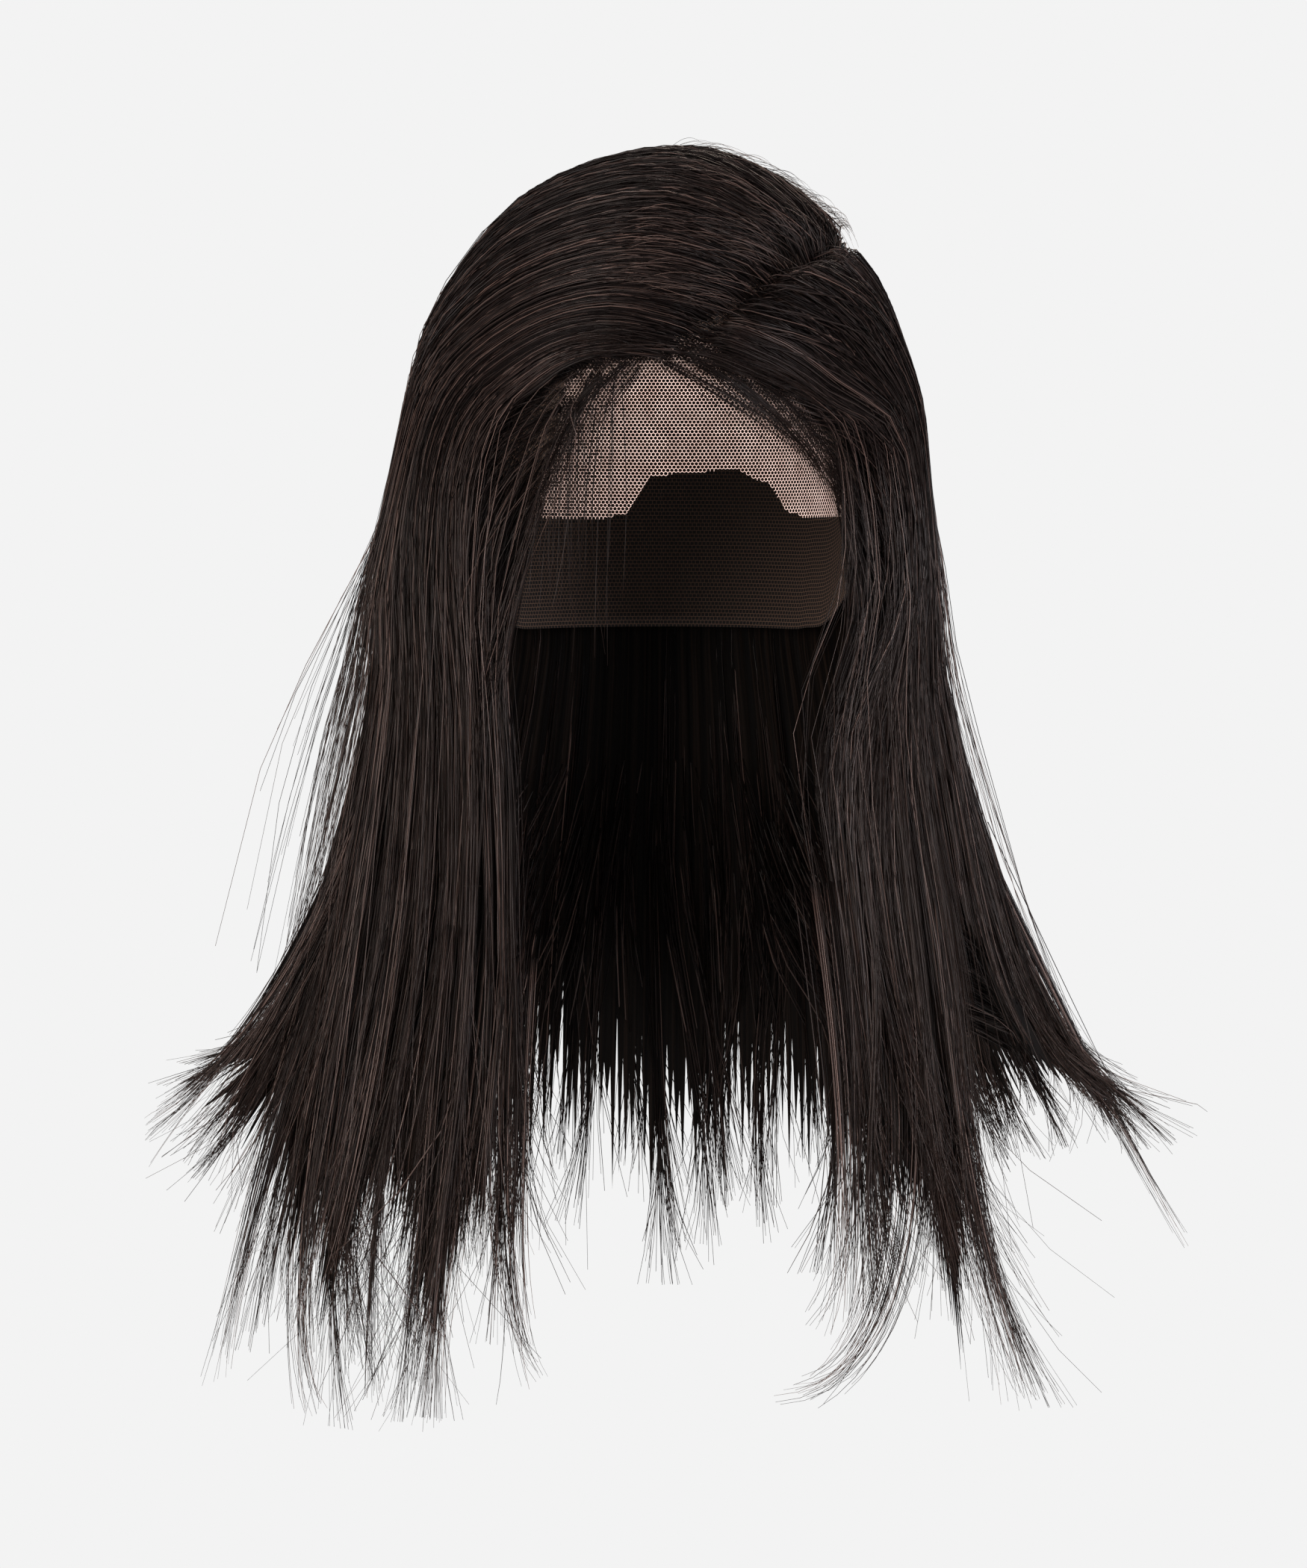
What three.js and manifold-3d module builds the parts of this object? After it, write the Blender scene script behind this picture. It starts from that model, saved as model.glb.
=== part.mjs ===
// Full lace wig: a thin lace cap shaped to a head, with straight long hair knotted all over it.
// The hair is parted off centre, swept over the crown, and hangs in front of and behind the shoulders.
// Millimetres, +Z up, +X towards the wearer's left, -Y out of the face. The origin is the inside top
// of the cap, where the top of the head bears.
import * as THREE from "three";
import Module from "manifold-3d";

// Head form that the inside of the cap follows: a superellipsoid dome over a slowly narrowing neck end.
const HEAD_HALF_WIDTH = 74;
const HEAD_FRONT_DEPTH = 92;
const HEAD_BACK_DEPTH = 96;
const DOME_HEIGHT = 95; // top of the head down to its widest level
const DOME_POWER = 2.1; // 2 is an ellipsoid, more is squarer
const SIDE_NARROWING = 0.1; // share lost one dome height below the widest level
const BACK_NARROWING = 0.24;

// Lace cap.
const LACE_THICKNESS = 1.0;
const CAP_ROWS = 13;
const FRONT_STEP_DEG = 5; // columns are closer round the bare front lace
const BACK_STEP_DEG = 10;
const FRONT_REACH_DEG = 80;
const EDGE_RIPPLE = 1.6; // how far the free front edge waves off the forehead
const RIPPLES_PER_TURN = 13;
const RIPPLE_MIDDLE_DEG = 6; // middle and half width of the stretch that the hair leaves bare
const RIPPLE_REACH_DEG = 27;
const RIPPLE_STARTS = 0.72; // share of the way from the crown to the edge

// Rim of the cap: how far below the top of the head it lies, by azimuth.
// Azimuth 0 is the middle of the face, 90 the wearer's left ear, 180 the nape.
const CAP_RIM = [
  { azimuth: -180, drop: 182 },
  { azimuth: -135, drop: 162 },
  { azimuth: -100, drop: 134 },
  { azimuth: -80, drop: 139 },
  { azimuth: -62, drop: 140 },
  { azimuth: -46, drop: 133 },
  { azimuth: -34, drop: 128 },
  { azimuth: -24, drop: 122 },
  { azimuth: -14, drop: 119.5 },
  { azimuth: -8, drop: 117 },
  { azimuth: -1, drop: 104 },
  { azimuth: 6, drop: 103 },
  { azimuth: 15, drop: 102 },
  { azimuth: 22, drop: 106 },
  { azimuth: 30, drop: 117 },
  { azimuth: 40, drop: 124 },
  { azimuth: 52, drop: 134 },
  { azimuth: 64, drop: 142 },
  { azimuth: 80, drop: 139 },
  { azimuth: 100, drop: 134 },
  { azimuth: 135, drop: 162 },
  { azimuth: 180, drop: 182 },
];

// Hair wall.
const LEAST_HEIGHT = 5.5; // outer face of the hair above the head form, wherever it is lowest
const HAIR_CLEARANCE = 2.9; // inner face above the head form: lace, gap and facet sag
const CHEEK_DROP = 145;
const JAW_DROP = 190;
const REST_DROP = 290; // where the hair meets the level of the shoulders
const SECTION_GAP = 0.015; // in guide spacings, each side of a seam between sections

// Thickness of the hanging hair at each station of a guide from the ear down.
const FALL_THICKNESS = { ear: 18, cheek: 17, jaw: 15, rest: 12, tip: 4 };
const EDGE_SHARE = 0.45; // thickness left at a free edge beside the face
const EDGE_REACH = 0.5; // guide spacings over which it thins

// Guides: one row for each path that the hair takes, round from the right face edge by the back
// to the left face edge. The root is by azimuth and drop on the head form, and rise pulls the path
// up before it falls. root, spring, loft and ear are the height of the hair over the head form at
// the root, a quarter of the way to the ear, half way, and at the ear.
const CROWN_GUIDES = [
  { rootAzimuth: -18, rootDrop: 71, rise: 0, earAzimuth: -17, root: 5.5, spring: 5.5, loft: 6, ear: 7 },
  { rootAzimuth: -4, rootDrop: 62, rise: 0.22, earAzimuth: -44, root: 6, spring: 7, loft: 9, ear: 13 },
  { rootAzimuth: 7, rootDrop: 54, rise: 0.32, earAzimuth: -62, root: 7, spring: 10, loft: 11, ear: 18 },
  { rootAzimuth: 18, rootDrop: 42.5, rise: 0.25, earAzimuth: -77, root: 9, spring: 12, loft: 10, ear: 19 },
  { rootAzimuth: 34, rootDrop: 34, rise: 0.15, earAzimuth: -92, root: 11, spring: 14, loft: 9, ear: 19.5 },
  { rootAzimuth: 58, rootDrop: 28.5, rise: 0.08, earAzimuth: -110, root: 13, spring: 14, loft: 9, ear: 18 },
  { rootAzimuth: 82, rootDrop: 28, rise: 0.02, earAzimuth: -132, root: 13, spring: 13, loft: 9, ear: 17 },
  { rootAzimuth: 97, rootDrop: 29.5, rise: 0, earAzimuth: -160, root: 10, spring: 11, loft: 10, ear: 16 },
  { rootAzimuth: 104, rootDrop: 32, rise: 0, earAzimuth: -190, root: 8, spring: 10, loft: 11, ear: 16 },
  { rootAzimuth: 106, rootDrop: 35, rise: 0, earAzimuth: -219, root: 7, spring: 10, loft: 12, ear: 16 },
  { rootAzimuth: 100, rootDrop: 36, rise: 0, earAzimuth: -245, root: 7, spring: 10, loft: 12, ear: 18 },
  { rootAzimuth: 84, rootDrop: 34.5, rise: 0, earAzimuth: -263, root: 7, spring: 10, loft: 12.5, ear: 20 },
  { rootAzimuth: 62, rootDrop: 35, rise: 0, earAzimuth: -278, root: 7, spring: 10, loft: 12, ear: 20 },
  { rootAzimuth: 35, rootDrop: 38.5, rise: 0.02, earAzimuth: -294, root: 7, spring: 9, loft: 11, ear: 17 },
  { rootAzimuth: 12, rootDrop: 57.5, rise: 0.03, earAzimuth: -306, root: 6, spring: 7, loft: 8, ear: 11 },
  { rootAzimuth: 23, rootDrop: 70, rise: 0.03, earAzimuth: -316, root: 5.5, spring: 5.5, loft: 5.5, ear: 6 },
];

// The same guides below the ear: places in plan at the cheek, the jaw, the shoulders and the tip.
const FALL_GUIDES = [
  { cheek: [-53, -78], jaw: [-49, -82], rest: [-46, -92], tip: [-53, -104], tipDrop: 408 },
  { cheek: [-68, -72], jaw: [-67, -75], rest: [-70, -88], tip: [-84, -106], tipDrop: 424 },
  { cheek: [-86, -54], jaw: [-86, -58], rest: [-97, -74], tip: [-113, -98], tipDrop: 420 },
  { cheek: [-98, -30], jaw: [-100, -34], rest: [-120, -52], tip: [-136, -84], tipDrop: 422 },
  { cheek: [-102, -2], jaw: [-106, -6], rest: [-141, -16], tip: [-173, -26], tipDrop: 314 },
  { cheek: [-96, 32], jaw: [-101, 28], rest: [-124, 32], tip: [-142, 36], tipDrop: 350 },
  { cheek: [-76, 72], jaw: [-80, 66], rest: [-94, 76], tip: [-100, 90], tipDrop: 398 },
  { cheek: [-36, 106], jaw: [-37, 98], rest: [-42, 98], tip: [-44, 104], tipDrop: 408 },
  { cheek: [14, 110], jaw: [14, 102], rest: [14, 102], tip: [14, 108], tipDrop: 412 },
  { cheek: [62, 86], jaw: [65, 80], rest: [72, 88], tip: [74, 97], tipDrop: 404 },
  { cheek: [92, 42], jaw: [96, 40], rest: [116, 44], tip: [134, 50], tipDrop: 360 },
  { cheek: [99, 8], jaw: [105, 4], rest: [141, -2], tip: [176, -12], tipDrop: 348 },
  { cheek: [96, -20], jaw: [102, -24], rest: [128, -42], tip: [150, -62], tipDrop: 334 },
  { cheek: [88, -44], jaw: [89, -50], rest: [105, -72], tip: [120, -92], tipDrop: 420 },
  { cheek: [77, -60], jaw: [73, -68], rest: [85, -86], tip: [90, -102], tipDrop: 410 },
  { cheek: [64, -65], jaw: [53, -78], rest: [62, -92], tip: [66, -104], tipDrop: 396 },
];

// Sections of hair: the guides that each runs between, how far up a notch between two locks reaches,
// as a share of the whole path, and the reach of each lock's own tip. open is a free edge by the face.
const SECTIONS = [
  { name: "hair_right", from: 0, to: 5.5, open: "from", notch: 0.1, tips: [0.97, 1, 0.96, 1, 0.98, 1, 0.96, 0.98] },
  { name: "hair_back", from: 5.5, to: 10.5, open: "none", notch: 0.06, tips: [0.98, 1, 0.97, 1, 0.98, 1, 0.97, 0.99] },
  { name: "hair_left", from: 10.5, to: 15, open: "to", notch: 0.11, tips: [0.98, 1, 0.97, 0.98, 1, 0.97, 0.99] },
];
const LOCK_RIDGE = 1.6; // height of a lock's round back over the groove beside it
const COLUMNS_PER_LOCK = 4;
const SHOULDER_SPLIT = { at: 12.45, reach: 0.55, notch: 0.2 }; // gap over the left shoulder

// Steps between one station and the next along a guide: four over the crown, then cheek, jaw, rest and tip.
const STATION_STEPS = [2, 3, 3, 3, 2, 1, 2, 5];
const EAR_STATION = 4;

// Loose tips that leave the hanging hair on their own, as tapered locks: start, middle and end.
const LOOSE_TIPS = [
  { section: "hair_left", guide: 14.1, leaves: 0.9, endX: 44, endY: -112, endDrop: 424, width: 11 },
  { section: "hair_left", guide: 11.2, leaves: 0.9, endX: 182, endY: -12, endDrop: 372, width: 9 },
  { section: "hair_right", guide: 3.1, leaves: 0.93, endX: -126, endY: -92, endDrop: 436, width: 9 },
  { section: "hair_right", guide: 0.7, leaves: 0.92, endX: -70, endY: -110, endDrop: 434, width: 9 },
];
const TIP_FLATNESS = 0.4; // thickness of a loose tip against its width
const TIP_SIDES = 8;
const TIP_STEPS = 7;
const TIP_POINT = 0.12; // width left at the very end

const LACE_COLOUR = 0x7a5a4a;
const HAIR_COLOUR = 0x1c1412;

const wasm = await Module();
wasm.setup();

const radians = THREE.MathUtils.degToRad;
const HEAD_MIDDLE = new THREE.Vector3(0, 0, -DOME_HEIGHT);

// Half width, front depth and back depth of the head form's level section, grown outwards by offset.
function headSection(drop, offset = 0) {
  const height = DOME_HEIGHT + offset;
  const above = Math.max(0, DOME_HEIGHT - drop) / height;
  const dome = (1 - Math.min(1, above) ** DOME_POWER) ** (1 / DOME_POWER);
  const below = (Math.max(0, drop - DOME_HEIGHT) / DOME_HEIGHT) ** 2;
  return {
    halfWidth: (HEAD_HALF_WIDTH * (1 - SIDE_NARROWING * below) + offset) * dome,
    front: (HEAD_FRONT_DEPTH + offset) * dome,
    back: (HEAD_BACK_DEPTH * (1 - BACK_NARROWING * below) + offset) * dome,
  };
}

// Point of the head form at an azimuth and a drop below its top.
function headPoint(azimuth, drop, offset = 0) {
  const section = headSection(drop, offset);
  const across = Math.sin(radians(azimuth));
  const along = -Math.cos(radians(azimuth));
  const depth = along < 0 ? section.front : section.back;
  const power = (Math.abs(across) / section.halfWidth) ** DOME_POWER + (Math.abs(along) / depth) ** DOME_POWER;
  const reach = power ** (-1 / DOME_POWER);
  return new THREE.Vector3(across * reach, along * reach, -drop);
}

// Distance from the middle of the head to its dome along a unit direction, and the point there.
function domePoint(direction, offset) {
  const depth = direction.y < 0 ? HEAD_FRONT_DEPTH : HEAD_BACK_DEPTH;
  const power =
    (Math.abs(direction.x) / (HEAD_HALF_WIDTH + offset)) ** DOME_POWER +
    (Math.abs(direction.y) / (depth + offset)) ** DOME_POWER +
    (Math.abs(direction.z) / (DOME_HEIGHT + offset)) ** DOME_POWER;
  return HEAD_MIDDLE.clone().addScaledVector(direction, power ** (-1 / DOME_POWER));
}

// Moves a point that lies inside the grown head form out to its surface.
function keepOffHead(point, offset) {
  const drop = -point.z;
  if (drop > JAW_DROP) return point;
  if (drop < DOME_HEIGHT) {
    const away = point.clone().sub(HEAD_MIDDLE);
    const surface = domePoint(away.clone().normalize(), offset);
    return away.length() < surface.distanceTo(HEAD_MIDDLE) ? surface : point;
  }
  const surface = headPoint(THREE.MathUtils.radToDeg(Math.atan2(point.x, -point.y)), drop, offset);
  return Math.hypot(point.x, point.y) < Math.hypot(surface.x, surface.y) ? surface : point;
}

// Smooth value between the rows of a table: a cosine ease from one row to the next.
function easedRow(rows, key, value, at) {
  const next = Math.max(1, rows.findIndex((row) => row[key] >= at));
  const [a, b] = [rows[next - 1], rows[next]];
  const share = THREE.MathUtils.clamp((at - a[key]) / (b[key] - a[key]), 0, 1);
  return THREE.MathUtils.lerp(a[value], b[value], (1 - Math.cos(Math.PI * share)) / 2);
}

// Closed wall between two grids of points, outer and inner, of the same rows and columns.
// A grid that wraps joins its last column to its first; one with an apex starts from a single point.
function closedWall(outer, inner, { wraps = false } = {}) {
  const rows = outer.length;
  const columns = outer[0].length;
  const position = [...outer.flat(), ...inner.flat()].flatMap((p) => [p.x, p.y, p.z]);
  const at = (layer, row, column) => layer * rows * columns + row * columns + (column % columns);
  const index = [];
  const quad = (a, b, c, d) => index.push(a, b, c, a, c, d);
  const lastColumn = wraps ? columns : columns - 1;
  for (let row = 0; row < rows - 1; row++) {
    for (let column = 0; column < lastColumn; column++) {
      quad(at(0, row, column), at(0, row + 1, column), at(0, row + 1, column + 1), at(0, row, column + 1));
      quad(at(1, row, column), at(1, row, column + 1), at(1, row + 1, column + 1), at(1, row + 1, column));
    }
    if (!wraps) {
      quad(at(0, row, 0), at(1, row, 0), at(1, row + 1, 0), at(0, row + 1, 0));
      const end = columns - 1;
      quad(at(0, row, end), at(0, row + 1, end), at(1, row + 1, end), at(1, row, end));
    }
  }
  for (let column = 0; column < lastColumn; column++) {
    const end = rows - 1;
    quad(at(0, end, column), at(1, end, column), at(1, end, column + 1), at(0, end, column + 1));
    if (!wraps) quad(at(0, 0, column), at(0, 0, column + 1), at(1, 0, column + 1), at(1, 0, column));
  }
  if (wraps) {
    const [outerTop, innerTop] = [position.length / 3, position.length / 3 + 1];
    position.push(0, 0, LACE_THICKNESS, 0, 0, 0);
    for (let column = 0; column < columns; column++) {
      index.push(outerTop, at(0, 0, column), at(0, 0, column + 1));
      index.push(innerTop, at(1, 0, column + 1), at(1, 0, column));
    }
  }
  const geometry = new THREE.BufferGeometry();
  geometry.setAttribute("position", new THREE.Float32BufferAttribute(position, 3));
  geometry.setIndex(index);
  return geometry;
}

// Azimuths of the cap's columns, close together round the front and wider behind.
function capAzimuths() {
  const azimuths = [];
  for (let a = -FRONT_REACH_DEG; a < FRONT_REACH_DEG; a += FRONT_STEP_DEG) azimuths.push(a);
  for (let a = FRONT_REACH_DEG; a < 360 - FRONT_REACH_DEG; a += BACK_STEP_DEG) azimuths.push(a);
  return azimuths.map((a) => (a > 180 ? a - 360 : a));
}

// The lace cap: the dome of the head down to the rim, with the bare front lace waving at its free edge.
function laceCap() {
  const layer = (offset) => {
    const rows = [];
    for (let row = 1; row <= CAP_ROWS; row++) {
      const share = row / CAP_ROWS;
      rows.push(
        capAzimuths().map((azimuth) => {
          const rim = easedRow(CAP_RIM, "azimuth", "drop", azimuth);
          const rimTurn = rim < DOME_HEIGHT ? Math.acos(1 - rim / DOME_HEIGHT) : Math.PI / 2 + rim / DOME_HEIGHT - 1;
          const turn = share * rimTurn;
          const drop = turn < Math.PI / 2 ? DOME_HEIGHT * (1 - Math.cos(turn)) : DOME_HEIGHT * (1 + turn - Math.PI / 2);
          const loose = Math.max(0, (share - RIPPLE_STARTS) / (1 - RIPPLE_STARTS)) ** 2;
          const aside = Math.min(1, Math.abs(azimuth - RIPPLE_MIDDLE_DEG) / RIPPLE_REACH_DEG);
          const front = (1 + Math.cos(Math.PI * aside)) / 2;
          const wave = (1 + Math.cos(radians(azimuth * RIPPLES_PER_TURN))) / 2;
          return headPoint(azimuth, drop, offset + EDGE_RIPPLE * loose * front * wave);
        }),
      );
    }
    return rows;
  };
  return closedWall(layer(LACE_THICKNESS), layer(0), { wraps: true });
}

// The stations of one guide: five over the crown, from the root to the ear, then cheek, jaw, rest and tip.
function guideStations(crown, fall) {
  const root = headPoint(crown.rootAzimuth, crown.rootDrop).sub(HEAD_MIDDLE).normalize();
  const ear = headPoint(crown.earAzimuth, DOME_HEIGHT).sub(HEAD_MIDDLE).normalize();
  const middle = root.clone().add(ear).normalize();
  middle.z += crown.rise;
  const heights = [crown.root, crown.spring, crown.loft, (crown.loft + crown.ear) / 2, crown.ear];
  const stations = heights.map((height, k) => {
    const t = k / EAR_STATION;
    const direction = root
      .clone()
      .multiplyScalar((1 - t) ** 2)
      .addScaledVector(middle, 2 * t * (1 - t))
      .addScaledVector(ear, t * t)
      .normalize();
    return domePoint(direction, height);
  });
  stations.push(new THREE.Vector3(...fall.cheek, -CHEEK_DROP));
  stations.push(new THREE.Vector3(...fall.jaw, -JAW_DROP));
  stations.push(new THREE.Vector3(...fall.rest, -REST_DROP));
  stations.push(new THREE.Vector3(...fall.tip, -fall.tipDrop));
  return stations;
}

const GUIDES = CROWN_GUIDES.map((crown, i) => guideStations(crown, FALL_GUIDES[i]));

// For each station, the smooth curve across all the guides.
const ACROSS = GUIDES[0].map(
  (_, k) => new THREE.CatmullRomCurve3(GUIDES.map((guide) => guide[k]), false, "catmullrom", 0.5),
);

// The path of the hair at a place across the guides.
function hairPath(across) {
  const share = across / (GUIDES.length - 1);
  return new THREE.CatmullRomCurve3(ACROSS.map((curve) => curve.getPoint(share)), false, "catmullrom", 0.5);
}

// Direction into the hair wall: to the middle of the head over the crown, level and square to the
// curve across the guides below the ear.
function inwardAt(across, t) {
  const point = hairPath(across).getPoint(t);
  const toMiddle = HEAD_MIDDLE.clone().sub(point).normalize();
  const step = 0.05;
  const low = Math.max(0, across - step);
  const high = Math.min(GUIDES.length - 1, across + step);
  const tangent = hairPath(high).getPoint(t).sub(hairPath(low).getPoint(t));
  const level = new THREE.Vector3(tangent.y, -tangent.x, 0).normalize();
  if (level.dot(new THREE.Vector3(-point.x, -point.y, 0)) < 0) level.negate();
  const earShare = EAR_STATION / STATION_STEPS.length;
  const below = THREE.MathUtils.smoothstep(t, earShare * 0.85, earShare * 1.15);
  return toMiddle.multiplyScalar(1 - below).addScaledVector(level, below).normalize();
}

// Thickness of the hair wall along a path, from the ear's value to the tip's.
function thicknessAt(t) {
  const steps = STATION_STEPS.length;
  const values = Object.values(FALL_THICKNESS);
  const place = THREE.MathUtils.clamp(t * steps - EAR_STATION, 0, values.length - 1.001);
  const k = Math.floor(place);
  return THREE.MathUtils.lerp(values[k], values[k + 1], place - k);
}

// Share of the full path that the hair reaches: its own tip at the middle of a lock, less at a notch.
function reachAt(section, across, column) {
  const place = column / COLUMNS_PER_LOCK;
  const lock = Math.min(section.tips.length - 1, Math.floor(place));
  const toNotch = Math.abs(2 * (place - lock) - 1);
  const split = Math.max(0, 1 - Math.abs(across - SHOULDER_SPLIT.at) / SHOULDER_SPLIT.reach);
  const own = THREE.MathUtils.lerp(section.tips[lock], 1 - section.notch, toNotch);
  return own - SHOULDER_SPLIT.notch * split;
}

// The values of t at which a path is cut into rows, closer where the hair curves and ends.
function rowShares() {
  const shares = [0];
  STATION_STEPS.forEach((steps, k) => {
    for (let i = 1; i <= steps; i++) shares.push((k + i / steps) / STATION_STEPS.length);
  });
  return shares;
}

// One section of hair as a wall: its outer face ridged lock by lock, its inner face clear of the cap.
function hairSection(section) {
  const from = section.from + (section.open === "from" ? 0 : SECTION_GAP);
  const to = section.to - (section.open === "to" ? 0 : SECTION_GAP);
  const columns = section.tips.length * COLUMNS_PER_LOCK;
  const [outer, inner] = [[], []];
  for (const share of rowShares()) {
    const [outerRow, innerRow] = [[], []];
    for (let column = 0; column <= columns; column++) {
      const across = THREE.MathUtils.lerp(from, to, column / columns);
      const lockShare = (column % COLUMNS_PER_LOCK) / COLUMNS_PER_LOCK;
      const t = share * reachAt(section, across, column);
      const point = hairPath(across).getPoint(t);
      const inward = inwardAt(across, t);
      const ridge = LOCK_RIDGE * Math.min(1, share / 0.3) * (1 - Math.abs(Math.cos(Math.PI * lockShare)));
      const fromEdge = section.open === "from" ? across - from : section.open === "to" ? to - across : EDGE_REACH;
      const edge = THREE.MathUtils.lerp(EDGE_SHARE, 1, Math.min(1, fromEdge / EDGE_REACH));
      const depth = thicknessAt(share) * edge;
      const back = keepOffHead(point.clone().addScaledVector(inward, depth), HAIR_CLEARANCE);
      const front = point.addScaledVector(inward, -ridge);
      outerRow.push(keepOffHead(front, LEAST_HEIGHT));
      innerRow.push(back);
    }
    outer.push(outerRow);
    inner.push(innerRow);
  }
  return closedWall(outer, inner);
}

// A loose tip: a flat oval section carried along a curve from inside the hanging hair to its point.
function looseTip(tip) {
  const path = hairPath(tip.guide);
  const start = path.getPoint(tip.leaves - 0.1);
  const leaving = path.getPoint(tip.leaves);
  const end = new THREE.Vector3(tip.endX, tip.endY, -tip.endDrop);
  const inward = inwardAt(tip.guide, tip.leaves);
  const sunk = thicknessAt(tip.leaves) / 2;
  [start, leaving].forEach((p) => p.addScaledVector(inward, sunk));
  const curve = new THREE.QuadraticBezierCurve3(start, leaving, end);
  const rings = [];
  for (let k = 0; k <= TIP_STEPS; k++) {
    const share = k / TIP_STEPS;
    const middle = curve.getPoint(share);
    const side = curve.getTangent(share).cross(inward).normalize();
    const half = (tip.width / 2) * THREE.MathUtils.lerp(1, TIP_POINT, share ** 1.5);
    const ring = [];
    for (let i = 0; i < TIP_SIDES; i++) {
      const angle = (2 * Math.PI * i) / TIP_SIDES;
      ring.push(
        middle
          .clone()
          .addScaledVector(side, half * Math.cos(angle))
          .addScaledVector(inward, half * TIP_FLATNESS * Math.sin(angle)),
      );
    }
    rings.push(ring);
  }
  return closedTube(rings);
}

// Closed tube through rings of equal size, with a flat fan at each end.
function closedTube(rings) {
  const sides = rings[0].length;
  const position = rings.flat().flatMap((p) => [p.x, p.y, p.z]);
  const index = [];
  for (let k = 0; k < rings.length - 1; k++) {
    for (let i = 0; i < sides; i++) {
      const [a, b] = [k * sides + i, k * sides + ((i + 1) % sides)];
      index.push(a, b, b + sides, a, b + sides, a + sides);
    }
  }
  const last = (rings.length - 1) * sides;
  for (let i = 1; i < sides - 1; i++) {
    index.push(0, i + 1, i);
    index.push(last, last + i, last + i + 1);
  }
  const geometry = new THREE.BufferGeometry();
  geometry.setAttribute("position", new THREE.Float32BufferAttribute(position, 3));
  geometry.setIndex(index);
  return geometry;
}

// A geometry as a solid that can be joined, turned the right way out if its faces point inwards.
function solidOf(geometry) {
  const make = (triVerts) =>
    new wasm.Manifold(
      new wasm.Mesh({ numProp: 3, vertProperties: geometry.attributes.position.array, triVerts }),
    );
  const triVerts = new Uint32Array(geometry.index.array);
  const solid = make(triVerts);
  return solid.volume() > 0 ? solid : make(triVerts.map((_, i) => triVerts[i - (i % 3) + 2 - (i % 3)]));
}

// A joined solid as a geometry.
function geometryOf(solid) {
  const mesh = solid.getMesh();
  const geometry = new THREE.BufferGeometry();
  geometry.setAttribute("position", new THREE.Float32BufferAttribute(mesh.vertProperties, 3));
  geometry.setIndex(new THREE.BufferAttribute(mesh.triVerts, 1));
  geometry.computeVertexNormals();
  return geometry;
}

function piece(name, solid, material) {
  const mesh = new THREE.Mesh(geometryOf(solid), material);
  mesh.name = name;
  return mesh;
}

const lace = new THREE.MeshStandardMaterial({ color: LACE_COLOUR, roughness: 0.9, metalness: 0 });
const hair = new THREE.MeshStandardMaterial({ color: HAIR_COLOUR, roughness: 0.45, metalness: 0 });

const wig = new THREE.Group();
wig.add(piece("lace_cap", solidOf(laceCap()), lace));
for (const section of SECTIONS) {
  let solid = solidOf(hairSection(section));
  for (const tip of LOOSE_TIPS.filter((row) => row.section === section.name)) {
    solid = solid.add(solidOf(looseTip(tip)));
  }
  wig.add(piece(section.name, solid, hair));
}

export default wig;
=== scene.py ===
"""Looks of a full lace wig: fine net cap, long straight dark hair strand by strand, and the studio.

Lengths inside the classes are millimetres in the part's frame: +Z up, -Y out of the face, +X towards
the wearer's left, origin at the inside top of the cap. Meshes are written in metres.
"""

from __future__ import annotations

import logging
from dataclasses import dataclass, field
from enum import Enum
from typing import Any

import bpy
import numpy as np
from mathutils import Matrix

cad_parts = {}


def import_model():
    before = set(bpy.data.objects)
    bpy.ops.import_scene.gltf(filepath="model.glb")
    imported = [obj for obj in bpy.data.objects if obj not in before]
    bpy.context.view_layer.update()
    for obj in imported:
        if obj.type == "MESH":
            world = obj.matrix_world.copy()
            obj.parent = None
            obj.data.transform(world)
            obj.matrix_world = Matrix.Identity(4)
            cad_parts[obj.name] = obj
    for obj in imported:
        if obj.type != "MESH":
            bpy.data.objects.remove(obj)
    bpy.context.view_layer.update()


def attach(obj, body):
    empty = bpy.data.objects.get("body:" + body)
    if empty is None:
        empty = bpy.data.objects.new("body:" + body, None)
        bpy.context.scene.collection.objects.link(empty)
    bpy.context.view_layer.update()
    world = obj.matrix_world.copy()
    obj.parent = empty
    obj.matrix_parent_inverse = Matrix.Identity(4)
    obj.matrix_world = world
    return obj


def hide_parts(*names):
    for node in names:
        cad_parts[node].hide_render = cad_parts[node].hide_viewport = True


LOG = logging.getLogger("full_lace_wig")
MM = 0.001
SEED = 18
BODY = "root"
UV_MAP = "OFBake"
TINY = 1e-6
Array = np.ndarray
Material, NodeTree, Object = bpy.types.Material, bpy.types.NodeTree, bpy.types.Object
Span = tuple[float, float]
Point = tuple[float, float, float]
Rows = tuple[tuple[float, ...], ...]
Stops = tuple[tuple[float, str], ...]


class Slot(Enum):
    """The record's material slots."""

    LACE = "lace"
    HAIR = "hair"


class Side(Enum):
    """The sections of hair, by the node that each stands for."""

    RIGHT = "hair_right"
    BACK = "hair_back"
    LEFT = "hair_left"


class Layer(Enum):
    """The layers of strands in a section of hair."""

    OUTER = "outer"
    UNDER = "under"
    INNER = "inner"
    END = "end"
    PART = "part"
    HAIRLINE = "hairline"


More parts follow.
